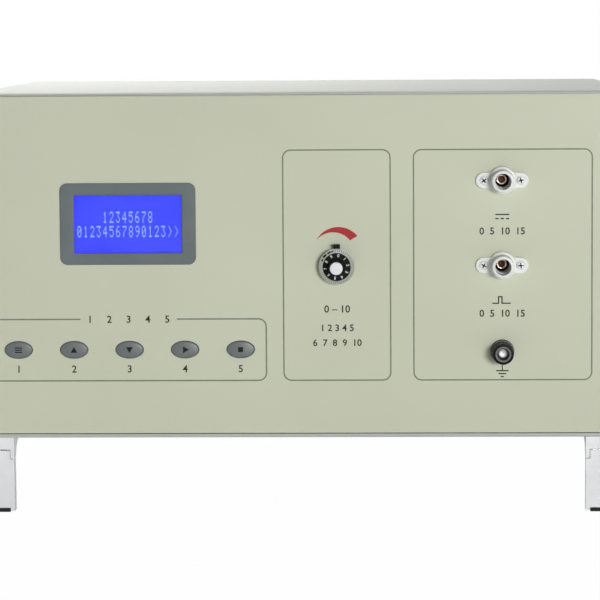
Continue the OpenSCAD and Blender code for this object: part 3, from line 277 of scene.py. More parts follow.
rockerRed = makeFinish("rockerRed", {
    "rgb": (168, 32, 28), "rgb2": (154, 26, 23), "roughness": 0.3, "cloud": 90, "grain": 2000,
    "bump": 0.05})
boardGreen = makeFinish("boardGreen", {
    "rgb": (34, 92, 52), "rgb2": (26, 78, 44), "roughness": 0.35, "cloud": 180, "grain": 1800})
switchPlastic = makeFinish("switchPlastic", {
    "rgb": (40, 40, 42), "rgb2": (50, 50, 52), "cloud": 150, "grain": 1800})
moduleSteel = makeFinish("moduleSteel", {
    "rgb": (70, 72, 76), "rgb2": (84, 86, 90), "roughness": 0.38, "metallic": 1, "cloud": 120,
    "grain": 2000})
potBlue = makeFinish("potBlue", {
    "rgb": (42, 84, 136), "rgb2": (36, 74, 122), "roughness": 0.35, "cloud": 90, "grain": 2000})
coreIron = makeFinish("coreIron", {
    "rgb": (86, 82, 78), "rgb2": (62, 60, 58), "metallic": 0.6, "cloud": 400, "stretch": (0.1, 4, 0.1),
    "grain": 1500})
pottingBlack = makeFinish("pottingBlack", {
    "rgb": (38, 38, 41), "rgb2": (30, 30, 33), "roughness": 0.3, "cloud": 30, "grain": 900})
canAluminium = makeFinish("canAluminium", {
    "rgb": (190, 194, 198), "rgb2": (172, 176, 180), "roughness": 0.32, "metallic": 1, "cloud": 60,
    "stretch": (1, 0.1, 1), "grain": 1800})
displayBlue = makeGlow("displayBlue", {
    "rgb": (30, 32, 110), "rgb2": (36, 40, 120), "glow": (34, 49, 251), "glow2": (42, 59, 254),
    "roughness": 0.4, "cloud": 30, "grain": 1800, "specular": 0.1, "strength": 0.95})
displayPale = makeGlow("displayPale", {
    "rgb": (80, 96, 120), "rgb2": (74, 90, 116), "glow": (142, 184, 255), "glow2": (132, 176, 255),
    "roughness": 0.4, "cloud": 300, "grain": 1800, "specular": 0.1, "strength": 0.95})


def makeWindowClear():
    material, tree, shader = newMaterial("windowClear")
    shader.inputs["Base Color"].default_value = (1, 1, 1, 1)
    shader.inputs["Transmission Weight"].default_value = 1
    shader.inputs["IOR"].default_value = 1.2
    tree.links.new(rangeOf(tree, noiseOn(tree, 900), 0.02, 0.06), shader.inputs["Roughness"])
    return material


windowClear = makeWindowClear()
print("materials made")


# Outlines, in millimetres
def polar(radius, angle):
    return radius * math.cos(angle), radius * math.sin(angle)


def arcPoints(middle, across, up, steps, start=0, end=tau / 4):
    angles = [start + (end - start) * i / steps for i in range(steps + 1)]
    return [(middle[0] + across * math.cos(angle), middle[1] + up * math.sin(angle)) for angle in angles]


def ovalPoints(width, height, count=64):
    return arcPoints((0, 0), width / 2, height / 2, count, end=tau)[:-1]


def roundRectPoints(width, height, radius, steps=6):
    x, y = width / 2 - radius, height / 2 - radius
    points = []
    for corner, middle in enumerate(((x, y), (-x, y), (-x, -y), (x, -y))):
        start = corner * tau / 4
        points += arcPoints(middle, radius, radius, steps, start, start + tau / 4)
    return points


def knurlPoints(radius, depth, teeth):
    # a flat-topped tooth and a flat valley, in turn
    corners = ((0, 0), (0.3, 0), (0.5, depth), (0.8, depth))
    return [polar(radius - drop, tau * (i + share) / teeth)
            for i in range(teeth) for share, drop in corners]


def flutePoints(radius, depth, teeth, steps=8):
    # smooth ribs and hollows
    angles = [tau * i / steps for i in range(teeth * steps)]
    return [polar(radius - depth * (0.5 - 0.5 * math.cos(angle)), angle / teeth) for angle in angles]


# Mesh steps
past = 1  # how far a cutting shape stands past the surface


def loft(rings, closed=False):
    # bridges outlines of equal counts; closed joins the last to the first
    # the outlines stand well apart while they are bridged, then go to their own heights
    apart = 60
    bm = bmesh.new()
    loops, heights = [], {}
    for level, (points, z) in enumerate(rings):
        verts = [bm.verts.new((x, y, apart * level)) for x, y in points]
        heights.update(dict.fromkeys(verts, z))
        loops.append([bm.edges.new(pair) for pair in zip(verts, verts[1:] + verts[:1])])
        if not closed and level in (0, len(rings) - 1):
            bm.faces.new(verts)
    following = loops[1:] + loops[:1] if closed else loops[1:]
    for low, high in zip(loops, following):
        bmesh.ops.bridge_loops(bm, edges=low + high)
    for vert in bm.verts:
        vert.co.z = heights[vert]
    bmesh.ops.recalc_face_normals(bm, faces=bm.faces)
    return bm


def slab(points, low, high):
    return loft([(points, low), (points, high)])


def turned(profile, steps=72, closed=False):
    # spins a profile of (radius, height) round the piece's own axis
    bm = bmesh.new()
    verts = [bm.verts.new((radius, 0, z)) for radius, z in profile]
    pairs = list(zip(verts, verts[1:])) + ([(verts[-1], verts[0])] if closed else [])
    edges = [bm.edges.new(pair) for pair in pairs]
    bmesh.ops.spin(bm, geom=verts + edges, cent=(0, 0, 0), axis=(0, 0, 1), angle=tau, steps=steps,
                   use_merge=True)
    bmesh.ops.remove_doubles(bm, verts=bm.verts, dist=1e-4)
    bmesh.ops.recalc_face_normals(bm, faces=bm.faces)
    return bm


def roundedEdge(radius, top, size, inset):
    # three points of a profile, going up round an outer edge
    return [(radius, top - size), (radius - inset, top - inset), (radius - size, top)]


def tube(outer, start, end, inner=0, steps=72):
    return turned([(inner, start), (outer, start), (outer, end), (inner, end)], steps, closed=inner > 0)


def block(width, height, low, high, middle=(0, 0)):
    bm = bmesh.new()
    bmesh.ops.create_cube(bm, size=1)
    bmesh.ops.scale(bm, vec=(width, height, high - low), verts=bm.verts)
    bmesh.ops.translate(bm, vec=(*middle, (low + high) / 2), verts=bm.verts)
    return bm


def soften(bm, offset, segments=2):
    limit = math.radians(35)
    sharp = [edge for edge in bm.edges if len(edge.link_faces) == 2 and edge.calc_face_angle() > limit]
    bmesh.ops.bevel(bm, geom=sharp, offset=offset, offset_type="OFFSET", segments=segments,
                    profile=0.5, affect="EDGES", clamp_overlap=True, material=-1)
    return bm


def shifted(bm, x=0, y=0, z=0, turn=0):
    bmesh.ops.rotate(bm, cent=(0, 0, 0), matrix=Matrix.Rotation(turn, 3, "Z"), verts=bm.verts)
    bmesh.ops.translate(bm, vec=(x, y, z), verts=bm.verts)
    return bm


def gathered(parts):
    # several meshes as one, without joining them
    bm = bmesh.new()
    for part in parts:
        mesh = bpy.data.meshes.new("work")
        part.to_mesh(mesh)
        part.free()
        bm.from_mesh(mesh)
        bpy.data.meshes.remove(mesh)
    return bm


def combined(first, second, operation):
    # boolean of two closed meshes
    holders = [placedMesh("work", bm) for bm in (first, second)]
    modifier = holders[0].modifiers.new("combine", "BOOLEAN")
    modifier.operation = operation
    modifier.solver = "EXACT"
    modifier.object = holders[1]
    result = bmesh.new()
    result.from_object(holders[0], bpy.context.evaluated_depsgraph_get())
    for holder in holders:
        mesh = holder.data
        bpy.data.objects.remove(holder)
        bpy.data.meshes.remove(mesh)
    return result


def textShape(text, height, bold):
    # numbers as a thin solid, centred, from the built-in face
    depth, digitShare = 0.03, 0.73
    curve = bpy.data.curves.new("text", "FONT")
    curve.body = text
    curve.size = height / digitShare
    curve.align_x = "CENTER"
    curve.extrude = depth / 2
    curve.offset = bold
    curve.resolution_u = 3
    holder = placed("text", curve)
    mesh = bpy.data.meshes.new_from_object(holder.evaluated_get(bpy.context.evaluated_depsgraph_get()))
    bm = bmesh.new()
    bm.from_mesh(mesh)
    bpy.data.meshes.remove(mesh)
    bpy.data.objects.remove(holder)
    bpy.data.curves.remove(curve)
    bmesh.ops.remove_doubles(bm, verts=bm.verts, dist=1e-4)
    return shifted(bm, y=-height / 2, z=depth / 2)


def settle(bm, name, place, material, body, replaces=(), smooth=35):
    bmesh.ops.transform(bm, matrix=place, verts=bm.verts)
    piece = placedMesh(name, bm)
    piece.data.shade_smooth()
    piece.data.set_sharp_from_angle(angle=math.radians(smooth))
    piece.data.materials.append(material)
    # flat faces stay flat beside their rounded edges
    piece.modifiers.new("weights", "WEIGHTED_NORMAL").keep_sharp = True
    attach(piece, body)
    if replaces:
        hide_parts(*replaces)
    return piece


def paintRing(piece, place, material, inner, outer, low, high):
    # a second material on the faces between two radii and two heights: the knob's black well, and painted
    # shade and painted highlights on other pieces
    near = 0.02
    piece.data.materials.append(material)
    back = place.inverted()
    for face in piece.data.polygons:
        middle = back @ face.center
        if low < middle.z < high and inner - near < middle.xy.length < outer + near:
            face.material_index = 1


def dress(material, *names):
    for name in names:
        mesh = nodes[name].data
        mesh.materials.clear()
        mesh.materials.append(material)


corners = ("fl", "fr", "bl", "br")
dress(casePaint, "top_cover")
dress(panPaint, "bottom_pan", "back_panel")
dress(panelMetal, "front_panel")
dress(panelPrint, "front_film")
dress(windowClear, "display_window")
dress(moduleSteel, "lcd_frame")
dress(displayBlue, "lcd_glass")
dress(boardGreen, "lcd_board", "key_board", "circuit_boards")
dress(switchPlastic, "key_switches")
dress(potBlue, "pot_body")
dress(brightSteel, "pot_shaft", "panel_nuts", "leg_pins", "case_screws", "fan_guard")
dress(footPlastic, *[f"foot_base_{c}" for c in corners], *[f"leg_{c}" for c in corners])
dress(padRubber, *[f"pad_{c}" for c in corners])
dress(fanBlack, "fan_frame", "fan_rotor")
dress(inletBlack, "power_inlet", "fuse_drawer", "power_switch")
dress(rockerRed, "power_rocker")
dress(coreIron, "mains_transformer")
dress(pottingBlack, "hv_transformer")
dress(canAluminium, "storage_capacitor")
print("frame dressed")

# Front frame: rounded lip, ledge behind the panel and rear flange
frontFrame = {
    "width": 430, "height": 222, "corner": 3, "rise": 0.4, "back": -15.6, "round": 0.8,
    "openWidth": 427.4, "openHeight": 218.3, "openCorner": 2.1, "openMiddle": 111.55,
    "panelBack": -3.25, "ledge": 8, "ledgeThick": 1.5, "edge": 0.15, "leastCorner": 0.5,
}


def makeFrontFrame(settings):
    s = SimpleNamespace(**settings)

    def outer(inset):
        points = roundRectPoints(s.width - 2 * inset, s.height - 2 * inset, s.corner - inset)
        return [(x, y + s.height / 2) for x, y in points]

    def opening(inset):
        points = roundRectPoints(s.openWidth - 2 * inset, s.openHeight - 2 * inset,
                                 max(s.openCorner - inset, s.leastCorner))
        return [(x, y + s.openMiddle) for x, y in points]

    lip = arcPoints((s.round, s.rise - s.round), -s.round, s.round, 4)
    rings = [(outer(0), s.back)] + [(outer(inset), z) for inset, z in lip]
    rings += [(opening(-s.edge), s.rise), (opening(0), s.rise - s.edge), (opening(0), s.panelBack),
              (opening(s.ledge), s.panelBack), (opening(s.ledge), s.panelBack - s.ledgeThick),
              (opening(0), s.panelBack - s.ledgeThick), (opening(0), s.back + s.ledgeThick),
              (opening(s.ledge), s.back + s.ledgeThick), (opening(s.ledge), s.back)]
    settle(loft(rings, closed=True), "frontFrame", panelPlace, frameGreyWithShade, "case", ["front_frame"])


makeFrontFrame(frontFrame)

# Print on the panel: x from the middle, z from the case's underside
panelPrints = {
    "line": 0.9, "corner": 5, "lift": 0.02, "ink": 0.03,
    "keyBox": (-197.1, -20.5, 37.0, 76.85), "keyGap": (-140.3, -78.0), "gapHeight": 6,
    "dialBox": (-9.25, 59.5, 37.0, 185.2), "socketBox": (74.4, 188.4, 37.0, 185.1),
}


def outlineBox(left, right, low, high, settings):
    s = SimpleNamespace(**settings)
    width, height = right - left, high - low
    outer = roundRectPoints(width + s.line, height + s.line, s.corner + s.line / 2)
    inner = roundRectPoints(width - s.line, height - s.line, s.corner - s.line / 2)
    top = s.lift + s.ink
    bm = loft([(outer, s.lift), (outer, top), (inner, top), (inner, s.lift)], closed=True)
    return shifted(bm, (left + right) / 2, (low + high) / 2)


def makePanelLines(settings):
    s = SimpleNamespace(**settings)
    left, right = s.keyGap
    gap = block(right - left, s.gapHeight, -past, past, ((left + right) / 2, s.keyBox[3]))
    parts = [combined(outlineBox(*s.keyBox, settings), gap, "DIFFERENCE"),
             outlineBox(*s.dialBox, settings), outlineBox(*s.socketBox, settings)]
    settle(gathered(parts), "panelLines", panelPlace, printOlive, "case")


makePanelLines(panelPrints)

# Crescent: middle, radius and two angles of its outer arc, then of the inner one on the way back
crescent = {
    "arcs": (((26.12, 119.90), 15.9, 39.4, 151.8), ((22.78, 118.48), 13.9, 140.1, 38.3)), "steps": 28,
}


def makeCrescent(settings):
    points = []
    for middle, radius, start, end in settings["arcs"]:
        points += arcPoints(middle, radius, radius, settings["steps"], math.radians(start),
                            math.radians(end))
    lift = panelPrints["lift"]
    bm = slab(points, lift, lift + panelPrints["ink"])
    settle(bm, "panelCrescent", panelPlace, printRed, "case")


makeCrescent(crescent)

# Captions: plain numbers and signs in the places of the words
captions = {
    "bold": 0.1, "keyRow": (44.8, 4.8), "gapRow": (77.0, 4.8),
    # a row: node, text, height above the underside, size
    "rows": (("dial_base", "0 – 10", 83.2, 4.8), ("dial_base", "1 2 3 4 5", 71.0, 4.4),
             ("dial_base", "6  7  8  9  10", 61.4, 4.4), ("dc_socket_body", "0  5  10  15", 133.0, 4.6),
             ("dc_socket_body", "0  5  10  15", 80.1, 4.6)),
    "signs": (("dc_socket_body", "direct", 142.1), ("dc_socket_body", "pulse", 88.4),
              ("post_collar", "earth", 42.3)),
}
keyNames = [f"key_{i}" for i in range(1, 6)]


def waveSign(kind):
    # signs of direct voltage, of a pulse and of earth, as thin bars
    bars = {
        "direct": [(9, 0.8, 0, 1.3), (2.2, 0.8, -3.4, -1.3), (2.2, 0.8, 0, -1.3), (2.2, 0.8, 3.4, -1.3)],
        "pulse": [(4, 0.8, -4.4, -2), (0.8, 5, -2.4, 0.1), (3, 0.8, -1.3, 2.2), (0.8, 5, -0.2, 0.1),
                  (6, 0.8, 2.4, -2)],
        "earth": [(0.7, 3.4, 0, 2.6), (8, 0.8, 0, 0.6), (5, 0.8, 0, -1.3), (2, 0.8, 0, -3.2)],
    }[kind]
    return [block(width, height, 0, panelPrints["ink"], (x, y)) for width, height, x, y in bars]


def makeCaptions(settings):
    s = SimpleNamespace(**settings)
    lift = panelPrints["lift"]
    left, right = panelPrints["keyGap"]
    numbers = []
    for i, name in enumerate(keyNames):
        numbers += [(str(i + 1), middleX(name), *s.keyRow),
                    (str(i + 1), left + (right - left) * (i + 0.5) / len(keyNames), *s.gapRow)]
    numbers += [(text, middleX(node), z, height) for node, text, z, height in s.rows]
    parts = [shifted(textShape(text, height, s.bold), x, z, lift) for text, x, z, height in numbers]
    for node, kind, z in s.signs:
        parts += [shifted(bar, middleX(node), z, lift) for bar in waveSign(kind)]
    settle(gathered(parts), "panelCaptions", panelPlace, printDark, "case")


makeCaptions(captions)
print("panel printed")

# Display: moulded bezel round a clear window, and lit dots on the glass behind it
bezel = {
    "width": 87.5, "height": 52.6, "corner": 4.8, "rise": 0.8, "round": 0.35,
    "viewWidth": 69, "viewHeight": 37, "viewCorner": 0.6, "chamfer": 0.9, "lip": 1.4,
    "seat": 2.2, "windowBack": 2.1, "moduleSeat": 3.7, "back": 6.9, "bodyInset": 2,
    "slope": 0.6, "cornerShare": 0.9,
}


def makeBezel(settings):
    s = SimpleNamespace(**settings)

    def outer(inset):
        return roundRectPoints(s.width - 2 * inset, s.height - 2 * inset, s.corner - inset * s.cornerShare)

    def inner(reach):
        return roundRectPoints(s.viewWidth + 2 * reach, s.viewHeight + 2 * reach, s.viewCorner)

    bm = loft([
        (outer(0), 0), (outer(0), s.rise), (inner(s.chamfer), s.rise),
        (inner(0), s.rise - s.chamfer * s.slope), (inner(0), s.rise - s.lip),
        (inner(s.seat), s.rise - s.lip), (inner(s.seat), -s.windowBack),
        (inner(s.moduleSeat), -s.windowBack), (inner(s.moduleSeat), -s.back),
        (outer(s.bodyInset), -s.back), (outer(s.bodyInset), 0)], closed=True)
    soften(bm, s.round, segments=3)
    settle(bm, "displayBezel", displayPlace, bezelPlastic, "case", ["display_bezel"])


makeBezel(bezel)

displayText = {
    "pitch": 0.52, "dot": 0.46, "columns": 8, "margin": 1.5, "lift": 0.02,
    "lines": (("12345678", 4, 7.6), ("01234567890123>>", 8, -1.6)),
    "digits": {
        "0": "01110 10001 10011 10101 11001 10001 01110",
        "1": "00100 01100 00100 00100 00100 00100 01110",
        "2": "01110 10001 00001 00010 00100 01000 11111",
        "3": "11111 00010 00100 00010 00001 10001 01110",
        "4": "00010 00110 01010 10010 11111 00010 00010",
        "5": "11111 10000 11110 00001 00001 10001 01110",
        "6": "00110 01000 10000 11110 10001 10001 01110",
        "7": "11111 00001 00010 00100 01000 01000 01000",
        "8": "01110 10001 10001 01110 10001 10001 01110",
        "9": "01110 10001 10001 01111 00001 00010 01100",
        ">": "01000 00100 00010 00001 00010 00100 01000",
    },
}


def makeDisplayDots(settings):
    # each lit dot is a small square on the glass
    s = SimpleNamespace(**settings)
    glassZ = (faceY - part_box("lcd_glass")[0].y) * 1000 + s.lift
    bm = bmesh.new()
    for text, halfCells, topY in s.lines:
        for cell, letter in enumerate(text):
            left = (cell - halfCells) * s.columns * s.pitch
            for row, bits in enumerate(s.digits[letter].split()):
                for column, bit in enumerate(bits):
                    if bit == "0":
                        continue
                    for half in (0, 1):
                        x = left + (column + s.margin) * s.pitch
                        y = topY - (2 * row + half) * s.pitch
                        square = bmesh.ops.create_grid(bm, x_segments=1, y_segments=1, size=s.dot / 2)
                        bmesh.ops.translate(bm, vec=(x, y, glassZ), verts=square["verts"])
    settle(bm, "displayDots", displayPlace, displayPale, "case")


makeDisplayDots(displayText)
print("display made")

# Function keys: crowned ovals with a rim behind the panel and a stem to the switch
keys = {
    "width": 18.1, "height": 11.2, "crown": 60, "top": 1.1, "edge": 1.2, "edgeDepth": 0.75,
    "rimBack": -4.75, "rimFront": -3.55, "rimReach": 1.85, "stem": 1.8, "stemEnd": -13.55,
    "stemInto": 0.4, "topRings": (0.8, 0.55, 0.3, 0.1), "ink": 0.05, "bar": (4.6, 0.7), "barStep": 1.4,
    "square": 3.2, "triangle": 5.1,
}


def keyShape(settings):
    s = SimpleNamespace(**settings)
    rim = 2 * s.rimReach
    rings = [(ovalPoints(s.width + rim, s.height + rim), s.rimBack),
             (ovalPoints(s.width + rim, s.height + rim), s.rimFront),
             (ovalPoints(s.width, s.height), s.rimFront)]
    for inset, z in arcPoints((2 * s.edge, s.top - s.edgeDepth), -2 * s.edge, s.edgeDepth, 4):
        rings.append((ovalPoints(s.width - inset, s.height - inset), z))
    for share in s.topRings:
        rings.append((ovalPoints((s.width - 2 * s.edge) * share, (s.height - 2 * s.edge) * share), s.top))
    bm = loft(rings)
    for vert in bm.verts:
        if vert.co.z > 0:
            vert.co.z -= (vert.co.x ** 2 + vert.co.y ** 2) / (2 * s.crown)
    return combined(bm, tube(s.stem, s.rimBack + s.stemInto, s.stemEnd, steps=24), "UNION")


def keySign(kind, settings):
    s = SimpleNamespace(**settings)
    if kind == "menu":
        return gathered([block(*s.bar, 0, s.ink, (0, y)) for y in (-s.barStep, 0, s.barStep)])
    if kind == "stop":
        return block(s.square, s.square, 0, s.ink)
    turn, lift = {"up": (0.25, -0.5), "down": (0.75, 0.5), "start": (0, 0)}[kind]
    return shifted(slab(ovalPoints(s.triangle, s.triangle, 3), 0, s.ink), y=lift, turn=turn * tau)


def makeKeys(settings):
    for name, sign in zip(keyNames, ("menu", "up", "down", "start", "stop")):
        place = overNode(name)
        settle(keyShape(settings), name + "Cap", place, keyPlastic, name, [name])
        mark = shifted(keySign(sign, settings), z=settings["top"])
        settle(mark, name + "Sign", place, keyInk, name)


makeKeys(keys)
print("keys made")

# Voltage dial: base ring, lock lever, knurled knob, counting disc and cap
dial = {
    "baseRadius": 10.4, "baseTop": 3.2, "hub": 6.9, "hubTop": 5.1, "bore": 3.8, "nutBore": 6.1,
    "nutTop": 2.3, "leverRadius": 9.8, "leverBore": 4, "leverLow": 3.5, "leverTop": 5.1,
    "leverReach": 14.1, "leverWidth": 4.2, "armStart": 8, "hubGap": 0.06, "tabStart": 12,
    "tabHeight": 3, "knobRadius": 11.4, "knobLow": 5.4, "bevelLow": 8.8, "rimRadius": 9.15,
    "knobTop": 11.6, "lipRadius": 9.02, "wellFloor": 9, "bossRadius": 4.95, "bossTop": 21.5,
    "bossEnd": 22.1, "shaft": 3.02, "teeth": 72, "toothDepth": 0.32, "gripLow": 6.2, "gripTop": 8.2,
    "discRadius": 8.5, "discLow": 9.3, "discTop": 10.5, "baseRound": 0.25, "leverRound": 0.3,
    "knobChamfer": 0.5, "toothEnd": 0.15, "rimRound": 0.06, "lipDrop": 0.2, "bossEdge": 0.3,
    "discGap": 0.1, "discRound": 0.12, "capEdge": (0.5, 0.15), "capBand": 0.9, "capDip": 0.12,
    "capRadius": 4.05, "capLow": 22.1, "capTop": 24.5,
}


def makeDialBase(settings):
    s = SimpleNamespace(**settings)
    bm = turned([(s.nutBore, 0), (s.baseRadius, 0), (s.baseRadius, s.baseTop),
                 (s.hub, s.baseTop), (s.hub, s.hubTop), (s.bore, s.hubTop),
                 (s.bore, s.nutTop), (s.nutBore, s.nutTop)], closed=True)
    soften(bm, s.baseRound)
    settle(bm, "dialBase", dialPlace, dialBlack, "case", ["dial_base"])


def makeLockLever(settings):
    s = SimpleNamespace(**settings)
    low, top = s.leverLow, s.leverTop
    arm = block(s.leverWidth, s.leverReach - s.armStart, low, top, (0, (s.leverReach + s.armStart) / 2))
    tab = block(s.leverWidth, s.leverReach - s.tabStart, low, top + s.tabHeight,
                (0, (s.leverReach + s.tabStart) / 2))
    bm = combined(combined(tube(s.leverRadius, low, top, s.leverBore), arm, "UNION"), tab, "UNION")
    bm = combined(bm, tube(s.hub + s.hubGap, low - past, top + past), "DIFFERENCE")
    bmesh.ops.dissolve_limit(bm, angle_limit=0.01, verts=bm.verts, edges=bm.edges)
    soften(bm, s.leverRound)
    settle(bm, "dialLockLever", dialPlace, dialBlack, "lock_lever", ["dial_lock_lever"])


def makeKnob(settings):
    s = SimpleNamespace(**settings)
    radius, teeth = s.knobRadius, s.teeth

    def plain(r):
        return knurlPoints(r, 0, teeth)

    grooved = knurlPoints(radius, s.toothDepth, teeth)
    bm = loft([
        (plain(s.shaft), s.knobLow), (plain(radius - s.knobChamfer), s.knobLow),
        (plain(radius), s.knobLow + s.knobChamfer), (plain(radius), s.gripLow - 0.1),
        (grooved, s.gripLow), (grooved, s.gripTop), (plain(radius), s.gripTop + s.toothEnd),
        (plain(radius), s.bevelLow - s.toothEnd), (plain(radius - 0.05), s.bevelLow),
        (plain(s.rimRadius + s.rimRound), s.knobTop - 0.1), (plain(s.rimRadius - s.rimRound), s.knobTop),
        (plain(s.lipRadius + s.rimRound), s.knobTop), (plain(s.lipRadius), s.knobTop - s.lipDrop),
        (plain(s.lipRadius), s.wellFloor), (plain(s.shaft), s.wellFloor)], closed=True)
    knob = settle(bm, "dialKnob", dialPlace, dialSilver, "dial", ["dial_knob"], smooth=25)
    # the well's wall and floor are black
    paintRing(knob, dialPlace, dialBlack, s.bossRadius, s.lipRadius, s.wellFloor - 0.1, s.knobTop - 0.15)
    edge = s.bossEdge
    boss = turned([(s.shaft, s.wellFloor), (s.bossRadius, s.wellFloor), (s.bossRadius, s.bossTop - edge),
                   (s.bossRadius - edge, s.bossTop), (s.bossRadius - 2 * edge, s.bossEnd),
                   (s.shaft, s.bossEnd)], closed=True)
    settle(boss, "dialBoss", dialPlace, dialBlack, "dial")


# Scale on the knob's bevel: fine lines all round, and coarse marks (angle, along, across, radius)
dialMarks = {
    "lines": 50, "lineWidth": 0.22, "lineLength": 2.6,
    "marks": ((105, 0.9, 1.4, 10.2), (118, 2.5, 1.4, 10.2), (138, 2.6, 1.8, 10.3), (155, 1.6, 1.5, 10.1)),
    "numberRadius": 7.35, "numberHeight": 2.0, "numberBold": 0.03, "tilt": -9,
    "markInk": 0.05, "lift": (0.02, 0.015), "numberLift": 0.01,
}


def onBevel(length, width, radius, angle, ink=0.03):
    # a thin bar that lies on the knob's bevel
    s = SimpleNamespace(**dial)
    rise, run = s.knobTop - s.bevelLow, s.knobRadius - s.rimRadius
    slope = Matrix.Rotation(math.atan2(rise, run), 3, "Y")
    outward, upward = dialMarks["lift"]
    height = s.bevelLow + (s.knobRadius - radius) * rise / run
    bar = block(length, width, 0, ink)
    bmesh.ops.rotate(bar, cent=(0, 0, 0), matrix=slope, verts=bar.verts)
    bmesh.ops.translate(bar, vec=(radius + outward, 0, height + upward), verts=bar.verts)
    return shifted(bar, turn=math.radians(angle))


def makeDialMarks(settings):
    s = SimpleNamespace(**settings)
    middle = (dial["knobRadius"] + dial["rimRadius"]) / 2
    fine = [onBevel(s.lineLength, s.lineWidth, middle, 360 * i / s.lines) for i in range(s.lines)]
    settle(gathered(fine), "dialLines", dialPlace, switchPlastic, "dial")
    marks = [onBevel(across, along, radius, angle, s.markInk) for angle, along, across, radius in s.marks]
    settle(gathered(marks), "dialMarks", dialPlace, dialBlack, "dial")
    numbers = []
    for number in range(10):
        shape = textShape(str(number), s.numberHeight, s.numberBold)
        shape = shifted(shape, y=s.numberRadius, z=dial["discTop"] + s.numberLift)
        numbers.append(shifted(shape, turn=math.radians(s.tilt) - tau * number / 10))
    settle(gathered(numbers), "dialNumbers", dialPlace, dialWhite, "turns_disc")


def makeDialDisc(settings):
    s = SimpleNamespace(**settings)
    bm = tube(s.discRadius, s.discLow, s.discTop, inner=s.bossRadius + s.discGap)
    soften(bm, s.discRound)
    settle(bm, "dialTurnsDisc", dialPlace, dialBlack, "turns_disc", ["dial_turns_disc"])


def makeDialCap(settings):
    s = SimpleNamespace(**settings)
    radius, top = s.capRadius, s.capTop
    bm = turned([(0, s.capLow), (radius, s.capLow), *roundedEdge(radius, top, *s.capEdge),
                 (radius - s.capBand, top), (radius - s.capBand - 0.1, top - s.capDip),
                 (0, top - s.capDip)])
    settle(bm, "dialCap", dialPlace, capPlastic, "dial", ["dial_cap"])


makeDialBase(dial)
makeLockLever(dial)
makeKnob(dial)
makeDialDisc(dial)
makeDialMarks(dialMarks)
makeDialCap(dial)
print("dial made")

# Output sockets: eared flange, ring, tube and a deep mouth
socket = {
    "flange": 9.2, "ear": 5.2, "earX": 11.8, "fillet": 3, "round": 0.5, "flangeTop": 2.5, "ring": 8.8,
    "ringTop": 4.1, "tube": 7, "tubeTop": 18, "mouth": 5, "mouthEnd": 5, "well": 4.6, "wellEnd": -29.25,
    "dark": -9.6, "hole": 3.33, "neck": 8.6, "panelBack": -3.25, "insulator": 7.8, "end": -37.25,
    "screwHole": 1.65, "ringLow": 0.4, "ringEdge": (0.5, 0.15), "tubeEdge": (0.6, 0.2),
    "contactEdge": (0.35, 0.1), "tailWall": 0.4, "tailDeep": 3, "contact": 3.3, "contactBore": 2.2,
    "contactTip": -10, "contactFloor": -12.5, "tailStep": -39.25, "tail": 1.815, "tailEnd": -45.25,
}


def earPoints(settings, steps=10):
    # flange outline by quarters: ear, hollow shoulder, round middle
    s = SimpleNamespace(**settings)
    hollowY = s.ear + s.fillet
    hollowX = math.sqrt((s.flange + s.fillet) ** 2 - hollowY ** 2)
    turn = math.atan2(hollowY, hollowX)
    quarter = arcPoints((s.earX, 0), s.ear, s.ear, steps)
    quarter += arcPoints((hollowX, hollowY), s.fillet, s.fillet, steps, -tau / 4, turn - tau / 2)[1:]
    quarter += arcPoints((0, 0), s.flange, s.flange, steps, turn)[1:]
    upper = quarter + [(-x, y) for x, y in reversed(quarter[:-1])]
    return upper + [(x, -y) for x, y in reversed(upper[1:-1])]


def socketShape(settings):
    s = SimpleNamespace(**settings)
    top = s.tubeTop
    flange = soften(slab(earPoints(settings), 0, s.flangeTop), s.round, segments=3)
    barrel = turned([
        (0, s.end), (s.insulator, s.end), (s.insulator, s.panelBack), (s.neck, s.panelBack),
        (s.neck, s.ringLow), (s.ring, s.ringLow), *roundedEdge(s.ring, s.ringTop, *s.ringEdge),
        (s.tube + 0.7, s.ringTop), (s.tube + 0.2, s.ringTop + 0.15), (s.tube, s.ringTop + 0.7),
        *roundedEdge(s.tube, top, *s.tubeEdge), (0, top)])
    body = combined(flange, barrel, "UNION")
    for side in (-1, 1):
        hole = tube(s.screwHole, -past, s.flangeTop + past, steps=24)
        body = combined(body, shifted(hole, side * s.earX), "DIFFERENCE")
    mouth = turned([
        (0, s.wellEnd), (s.well, s.wellEnd), (s.well, s.dark), (s.well, s.mouthEnd),
        (s.mouth, s.mouthEnd), (s.mouth, top - 0.5), (s.mouth + 0.12, top - 0.18),
        (s.mouth + 0.45, top + 0.02), (s.mouth + 0.45, top + past), (0, top + past)])
    body = combined(body, mouth, "DIFFERENCE")
    return combined(body, tube(s.hole, s.end - past, s.wellEnd + past, steps=36), "DIFFERENCE")


